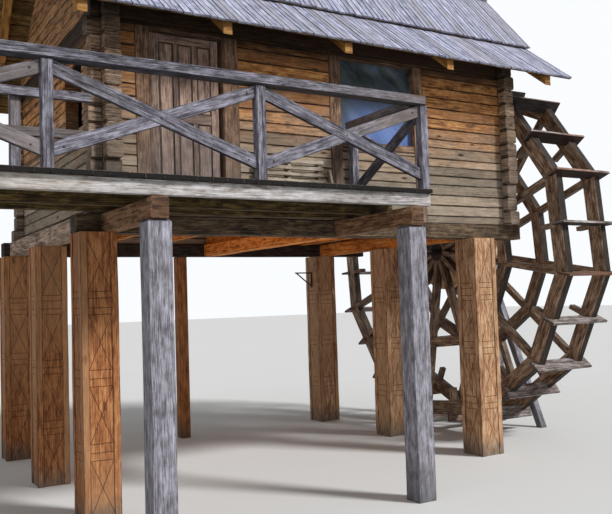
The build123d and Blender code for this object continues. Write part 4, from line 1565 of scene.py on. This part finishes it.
@dataclass
class Roof(Assembly):
    """The two-pitch plank roof, its rafters and its ridge.

    Attributes:
        planks_wide: narrowest and widest roof plank.
        plank_depth: their thickness.
        lining: thickness of the boards under them.
        ragged: how far their lower ends differ.
        cover: thickness of the whole roof, square to the slope.
        rafter: depth of a rafter.
        ridge_board: thickness of the ridge boards.
    """

    planks_wide: tuple[float, float] = (0.062, 0.105)
    plank_depth: float = 0.026
    lining: float = 0.020
    ragged: float = 0.028
    cover: float = 0.050
    rafter: float = 0.120
    ridge_board: float = 0.035

    def build(self) -> None:
        """Cover both slopes, then set the rafters and the ridge boards."""
        for side in ("front", "back"):
            self.slope(side, "lower", LOWER_PITCH, ((0.0, 1.0),))
            self.slope(side, "upper", UPPER_PITCH, ((0.0, 0.52), (0.47, 1.0)))
            self.rafters(side)
        self.ridge()

    def slope(self, side: str, part: str, pitch: float, rows: Sequence[tuple[float, float]]) -> None:
        """Cover one slope with lining boards along the eave and planks down the slope.

        Args:
            side: front or back.
            part: lower or upper.
            pitch: its pitch in radians.
            rows: where each row of planks starts and ends, as shares of the way up.
        """
        node = f"{side}_roof_{part}"
        low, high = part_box(node)
        foot_y, top_y = (low.y, high.y) if side == "front" else (high.y, low.y)
        foot, head = Vector((0, foot_y, low.z)), Vector((0, top_y, high.z - self.cover / cos(pitch)))
        up, length = (head - foot).normalized(), (head - foot).length
        out = Vector((0, -FACING[side] * sin(pitch), cos(pitch)))
        place = 0.025
        with self.piece(f"{node}_lining", Finish.SOFFIT, node) as bench:
            while length - place > 0.03:
                width = min(bench.chance.uniform(0.14, 0.20), length - place)
                start = foot + up * (place + width / 2) + out * (self.lining / 2)
                finish = start.copy()
                start.x, finish.x = low.x + 0.02, high.x - 0.02
                bench.leg(start, finish, width - 0.004, self.lining, up, Cut(arris=0.002))
                place += width
        with self.piece(f"{node}_planks", Finish.ROOF) as bench:
            chance = bench.chance.uniform
            for order, (first, last) in enumerate(rows):
                place = low.x
                while high.x - place > 0.02:
                    width, gap = min(chance(*self.planks_wide), high.x - place), chance(0.002, 0.007)
                    start = foot + up * (first * length + chance(0.0, self.ragged))
                    lift = self.lining + self.plank_depth / 2 + order * self.plank_depth * 0.55 - chance(0.0, 0.005)
                    start += out * (lift + order * 0.012)
                    finish = foot + up * (last * length) + out * lift
                    start.x = finish.x = place + width / 2
                    bench.leg(start, finish, width - gap, self.plank_depth, RIGHT,
                              Cut(arris=0.003, joints=1, sway=0.003))
                    place += width

    def rafters(self, side: str) -> None:
        """Set each bent rafter as two timbers that meet at the change of pitch.

        Args:
            side: front or back.
        """
        node, facing = f"{side}_rafters", FACING[side]
        wall_low, wall_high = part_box("right_wall")
        face_y = wall_low.y if side == "front" else wall_high.y
        tall = self.rafter / cos(LOWER_PITCH)
        bend_y, bend_z = face_y + facing * BREAK_IN, wall_high.z + tall + BREAK_IN * tan(LOWER_PITCH)
        with self.piece(f"{node}_timber", Finish.RAFTER, node) as bench:
            for low, high in self.solids(node):
                tail_y, ridge_y = (low.y, high.y) if side == "front" else (high.y, low.y)
                for first, last, pitch in ((tail_y, bend_y, LOWER_PITCH), (bend_y, ridge_y, UPPER_PITCH)):
                    ends = [Vector(((low.x + high.x) / 2, y, bend_z + (y - bend_y) * facing * tan(pitch) - tall / 2))
                            for y in (first - 0.2 * facing, last + 0.2 * facing)]
                    bench.leg(*ends, high.x - low.x, tall * cos(pitch), RIGHT,
                              saws=(square_cut(1, first, -facing), square_cut(1, last, facing)))

    def ridge(self) -> None:
        """Lay two long boards over the ridge."""
        low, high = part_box("ridge_cap")
        middle = (low.y + high.y) / 2
        reach, across, rise = abs(high.y - middle), cos(UPPER_PITCH), sin(UPPER_PITCH)
        length = reach / across
        with self.piece("ridge_boards", Finish.ROOF, "ridge_cap") as bench:
            for facing in (-1.0, 1.0):
                down, out = Vector((0, facing * across, -rise)), Vector((0, facing * rise, across))
                start = Vector((0, middle, high.z)) - out * (self.ridge_board / 2) + down * (length / 2)
                finish = start.copy()
                start.x, finish.x = low.x, high.x
                bench.leg(start, finish, length + 0.05, self.ridge_board, down, Cut(joints=7, sway=0.004),
                          saws=(square_cut(1, middle, -facing), square_cut(1, middle + facing * reach, facing)))


@dataclass
class Wheel(Assembly):
    """The double-ringed waterwheel with its arms, struts, fan hubs and floats.

    The rims are straight felloes that meet at the arms, so each ring has as many corners as it has arms.

    Attributes:
        radius: corners of the outer rings.
        rim: width of the outer rings at their corners.
        inner: corners of the inner rings.
        inner_rim: width of the inner rings at their corners.
        arms: how many arms.
        first_arm: angle of the first arm, in degrees.
        arm: width of an arm.
        strut: width of a short strut.
        bore: radius of the iron nave's hole.
        nave: its own radius.
        fan_planks: wedge planks in a hub.
        sunk: how far the floats are let into the rims.
        float_depth: size of a float out from the axle.
        float_thick: its thickness.
        brace: width of the outer post's braces.
    """

    body: str = "wheel"
    radius: float = 2.795
    rim: float = 0.230
    inner: float = 1.640
    inner_rim: float = 0.185
    arms: int = 12
    first_arm: float = 10.0
    arm: float = 0.090
    strut: float = 0.065
    bore: float = 0.0425
    nave: float = 0.150
    fan_planks: int = 24
    sunk: float = 0.0997
    float_depth: float = 0.210
    float_thick: float = 0.036
    brace: float = 0.120

    def build(self) -> None:
        """Build the two rings, the hubs, the floats, the axle and its bearings."""
        low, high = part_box("wheel_shaft")
        self.centre = (low + high) / 2
        self.bay = 360 / self.arms
        self.flat = cos(radians(self.bay / 2))
        with self.piece("wheel_bolts", Finish.NAIL) as self.studs:
            for name in ("near", "far"):
                self.ring(name)
            self.hubs()
            self.float_boards()
            with self.piece("axle_iron", Finish.IRON, "wheel_shaft") as bench:
                bench.turned(self.axle_at(0.0, 0.0), (low.x, high.x), (0.0005, (high.z - low.z) / 2), 40, 0.004)
        self.supports()

    def axle_at(self, low_x: float, high_x: float) -> Vector:
        """Return the point on the axle halfway between two places along X."""
        return Vector(((low_x + high_x) / 2, self.centre.y, self.centre.z))

    def felloe(self, bench: Bench, centre: Vector, angle: float, outside: float, width: float, thick: float) -> None:
        """Set one straight felloe between two arms, mitred on both.

        Args:
            bench: the piece under way.
            centre: where the axle passes through the ring.
            angle: the first arm's angle, in degrees.
            outside: the ring's radius at its corners.
            width: the ring's width at its corners.
            thick: the felloe's size along the axle.
        """
        way = unit_from_axle(angle + self.bay / 2)
        along = tangent(way)
        middle = centre + way * ((outside - width / 2) * self.flat)
        reach = outside * sin(radians(self.bay / 2)) + 0.04
        wastes = (tangent(unit_from_axle(angle)) * -1.0, tangent(unit_from_axle(angle + self.bay)))
        # the rim's outer and inner faces get a lower tone than its broad faces: painted shade
        cut = Cut(arris=0.006, joints=3, sway=0.003, tones=(0.2, 1.0), face_tones=((2, -1.52), (-2, -1.2)))
        bench.leg(middle - along * reach, middle + along * reach, width * self.flat - 0.002, thick, way, cut,
                  saws=[Saw(centre - waste * 0.0012, waste) for waste in wastes])

    def ring(self, name: str) -> None:
        """Build one ring: felloes outside and inside, arms, short struts between them, and its iron nave.

        Args:
            name: near or far.
        """
        node = f"{name}_wheel_ring"
        low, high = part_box(node)
        thick, centre = high.x - low.x, self.axle_at(low.x, high.x)
        shadowed = ((2, -0.7), (-2, -0.7))
        arm_cut = Cut(arris=0.005, joints=4, sway=0.003, tones=(0.0, 0.8), face_tones=shadowed)
        strut_end = (self.radius - self.rim / 2) * self.flat
        bolts = (self.radius - self.rim * 0.35, self.radius - self.rim * 0.8, self.inner - self.inner_rim / 2)
        with self.piece(f"{name}_ring_felloes", Finish.WHEEL, node) as bench:
            for index in range(self.arms):
                angle = self.first_arm + index * self.bay
                way, between = unit_from_axle(angle), unit_from_axle(angle + self.bay / 2)
                for outside, width in ((self.radius, self.rim), (self.inner, self.inner_rim)):
                    side = thick - 0.003 - bench.chance.uniform(0.0, 0.006)
                    self.felloe(bench, centre, angle, outside, width, side)
                bench.leg(centre + way * 0.10, centre + way * (self.radius - self.rim * 0.3), self.arm,
                          thick - 0.012, tangent(way), arm_cut)
                bench.leg(centre + between * (strut_end - self.rim / 2 - 0.210), centre + between * strut_end,
                          self.strut, thick * 0.9, tangent(between), Cut(face_tones=shadowed))
                for reach in bolts:
                    for side in (-1, 1):
                        self.studs.stud(centre + way * reach + Vector((side * (thick / 2 - 0.007), 0, 0)),
                                        Vector((side, 0, 0)), 0.012, 0.007)
        half = thick / 2 + 0.0005
        with self.piece(f"{name}_nave_iron", Finish.IRON) as bench:
            bench.turned(centre, (-half, half), (self.bore, self.nave), 36, 0.006)
            for index in range(6):
                for side in (-1, 1):
                    spot = centre + unit_from_axle(index * 60 + 25) * 0.105 + Vector((side * half, 0, 0))
                    bench.stud(spot, Vector((side, 0, 0)), 0.014, 0.009)

    def hubs(self) -> None:
        """Fan wedge planks round the axle inside each ring."""
        step = 360 / self.fan_planks
        with self.piece("hub_fans", Finish.HUB, "wheel_hubs") as bench:
            for low, high in self.solids("wheel_hubs"):
                for index in range(self.fan_planks):
                    side = (high.x - low.x) / 2 - bench.chance.uniform(0.0, 0.008)
                    reach = (high.z - low.z) / 2 - bench.chance.uniform(0.0, 0.02)
                    bench.turned(self.axle_at(low.x, high.x), (-side, side), (0.044, reach), 2, 0.003,
                                 self.first_arm + index * step + 0.4, step - 0.8, True)

    def float_boards(self) -> None:
        """Set a float at every arm and one halfway between, the face towards rising angles darker than the other:
        painted shade.
        """
        low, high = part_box("wheel_floats")
        inset = self.sunk - self.float_depth / 2
        # the face towards rising angles gets a lower tone: painted shade
        cut = Cut(joints=4, sway=0.004, face_tones=((3, -1.0),))
        with self.piece("float_boards", Finish.FLOAT_BOARD, "wheel_floats") as bench:
            for index in range(self.arms):
                for share, rim in ((0.0, self.radius), (0.5, self.radius * self.flat)):
                    way = unit_from_axle(self.first_arm + (index + share) * self.bay)
                    centre = self.axle_at(low.x, high.x) + way * (rim - inset)
                    along = Vector(((high.x - low.x) / 2 - bench.chance.uniform(0.0, 0.03), 0, 0))
                    bench.leg(centre - along, centre + along, self.float_depth - 0.001, self.float_thick, way, cut)

    def supports(self) -> None:
        """Build the inner bearing block and the braced outer post, which don't turn."""
        with self.piece("inner_bearing_block", Finish.BEAM, "inner_bearing", body="house") as bench:
            bench.board(*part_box("inner_bearing"), Run.Y, Cut(arris=0.010, facets=2))
        self.beams("outer_wheel_post", Finish.POST, body="house")
        low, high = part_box("outer_post_braces")
        post_low, post_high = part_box("outer_wheel_post")
        x = (low.x + high.x) / 2
        with self.piece("outer_post_brace_timber", Finish.POST, "outer_post_braces", body="house") as bench:
            for facing, face_y, foot_y in ((-1.0, post_low.y, low.y), (1.0, post_high.y, high.y)):
                foot = Vector((x, foot_y - facing * self.brace / 2, 0.0))
                top = Vector((x, face_y, high.z - self.brace))
                ahead = (top - foot).normalized()
                bench.leg(foot - ahead * 0.3, top + ahead * 0.3, self.brace, self.brace * abs(ahead.z), RIGHT,
                          Cut(arris=0.006, joints=4, sway=0.004),
                          saws=(square_cut(2, 0.0, -1.0), square_cut(1, face_y, -facing)))


@dataclass(frozen=True)
class Studio:
    """Pale floor, soft light and the camera at the photograph's place.

    Attributes:
        eye: the camera's place.
        yaw: degrees from +Y towards +X.
        pitch: degrees above level.
        roll: degrees about the view.
        lens: focal length in millimetres on a 36 mm sensor.
        lamps: each lamp's name, strength, spread, tilt and turn, in degrees.
        ambient: the even light of the world.
    """

    eye: tuple[float, float, float] = (-4.831, -9.9636, 2.208)
    yaw: float = 31.046
    pitch: float = 3.050
    roll: float = -1.836
    lens: float = 46.66
    lamps: tuple[tuple[str, float, float, float, float], ...] = (
        ("key_lamp", 3.3, 11.0, 50.0, 34.0), ("fill_lamp", 0.3, 60.0, 62.0, -58.0))
    ambient: float = 0.37

    def build(self) -> None:
        """Set the camera, the floor, the lamps and the world."""
        self.camera()
        self.floor()
        for name, strength, spread, tilt, turn in self.lamps:
            data = bpy.data.lights.new(name, "SUN")
            data.energy, data.angle = strength, radians(spread)
            self.linked_in(name, data).rotation_euler = (radians(tilt), 0.0, radians(turn))
        self.world()
        bpy.context.scene.view_settings.view_transform = "Standard"

    @staticmethod
    def linked_in(name: str, data: bpy.types.ID) -> bpy.types.Object:
        """Put a new object into the scene.

        Args:
            name: its name.
            data: what it shows.

        Returns:
            The object.
        """
        made = bpy.data.objects.new(name, data)
        bpy.context.collection.objects.link(made)
        return made

    def camera(self) -> None:
        """Place the camera and frame the view as the photograph does."""
        yaw, pitch, roll = (radians(angle) for angle in (self.yaw, self.pitch, self.roll))
        ahead = Vector((sin(yaw) * cos(pitch), cos(yaw) * cos(pitch), sin(pitch)))
        level = Vector((cos(yaw), -sin(yaw), 0.0))
        upright = level.cross(ahead)
        right = level * cos(roll) + upright * sin(roll)
        up = upright * cos(roll) - level * sin(roll)
        data = bpy.data.cameras.new("photo_camera")
        data.sensor_fit, data.sensor_width = "HORIZONTAL", 36.0
        data.lens, data.clip_end = self.lens, 200.0
        camera = self.linked_in("photo_camera", data)
        camera.matrix_world = Matrix.Translation(self.eye) @ Matrix((right, up, -ahead)).transposed().to_4x4()
        bpy.context.scene.camera = camera
        log.info("camera at %s", self.eye)

    def floor(self) -> None:
        """Lay a wide pale floor."""
        mesh = bmesh.new()
        bmesh.ops.create_grid(mesh, x_segments=2, y_segments=2, size=90.0, matrix=Matrix.Translation((0, 0, -0.002)))
        data = bpy.data.meshes.new("studio_floor")
        mesh.to_mesh(data)
        mesh.free()
        shop = PaintShop(bpy.data.materials.new("studio_floor"))
        x, y, _ = shop.place()
        soft = shop.cloud(x * 0.5, y * 0.5, 0.0, 2.0)
        data.materials.append(shop.done(shop.dim((0.66, 0.66, 0.65), 0.97 + soft * 0.04), 0.9, Specular_IOR_Level=0.1))
        self.linked_in("studio_floor", data)

    def world(self) -> None:
        """Light the scene evenly, with a white background for the camera."""
        world = bpy.data.worlds.new("studio")
        bpy.context.scene.world = world
        shop = PaintShop(world)
        paths = shop.node("ShaderNodeLightPath").outputs
        seen = Signal(shop, paths["Is Camera Ray"]).most(paths["Is Transmission Ray"])
        level = shop.signal("ShaderNodeMapRange", None, {"Value": seen, "To Min": self.ambient, "To Max": 1.0})
        backdrop = shop.node("ShaderNodeBackground", None, {"Color": (0.96, 0.98, 1.0), "Strength": level})
        shop.node("ShaderNodeOutputWorld", None, {"Surface": backdrop.outputs[0]})


def main() -> None:
    """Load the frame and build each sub-assembly."""
    logging.basicConfig(level=logging.INFO, format="%(name)s: %(message)s")
    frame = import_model()
    Studio().build()
    for part in (Foundations(frame), Gallery(frame), House(frame), Door(frame), Roof(frame), Wheel(frame)):
        part.build()
        log.info("%s built", type(part).__name__)


if __name__ == "__main__":
    main()
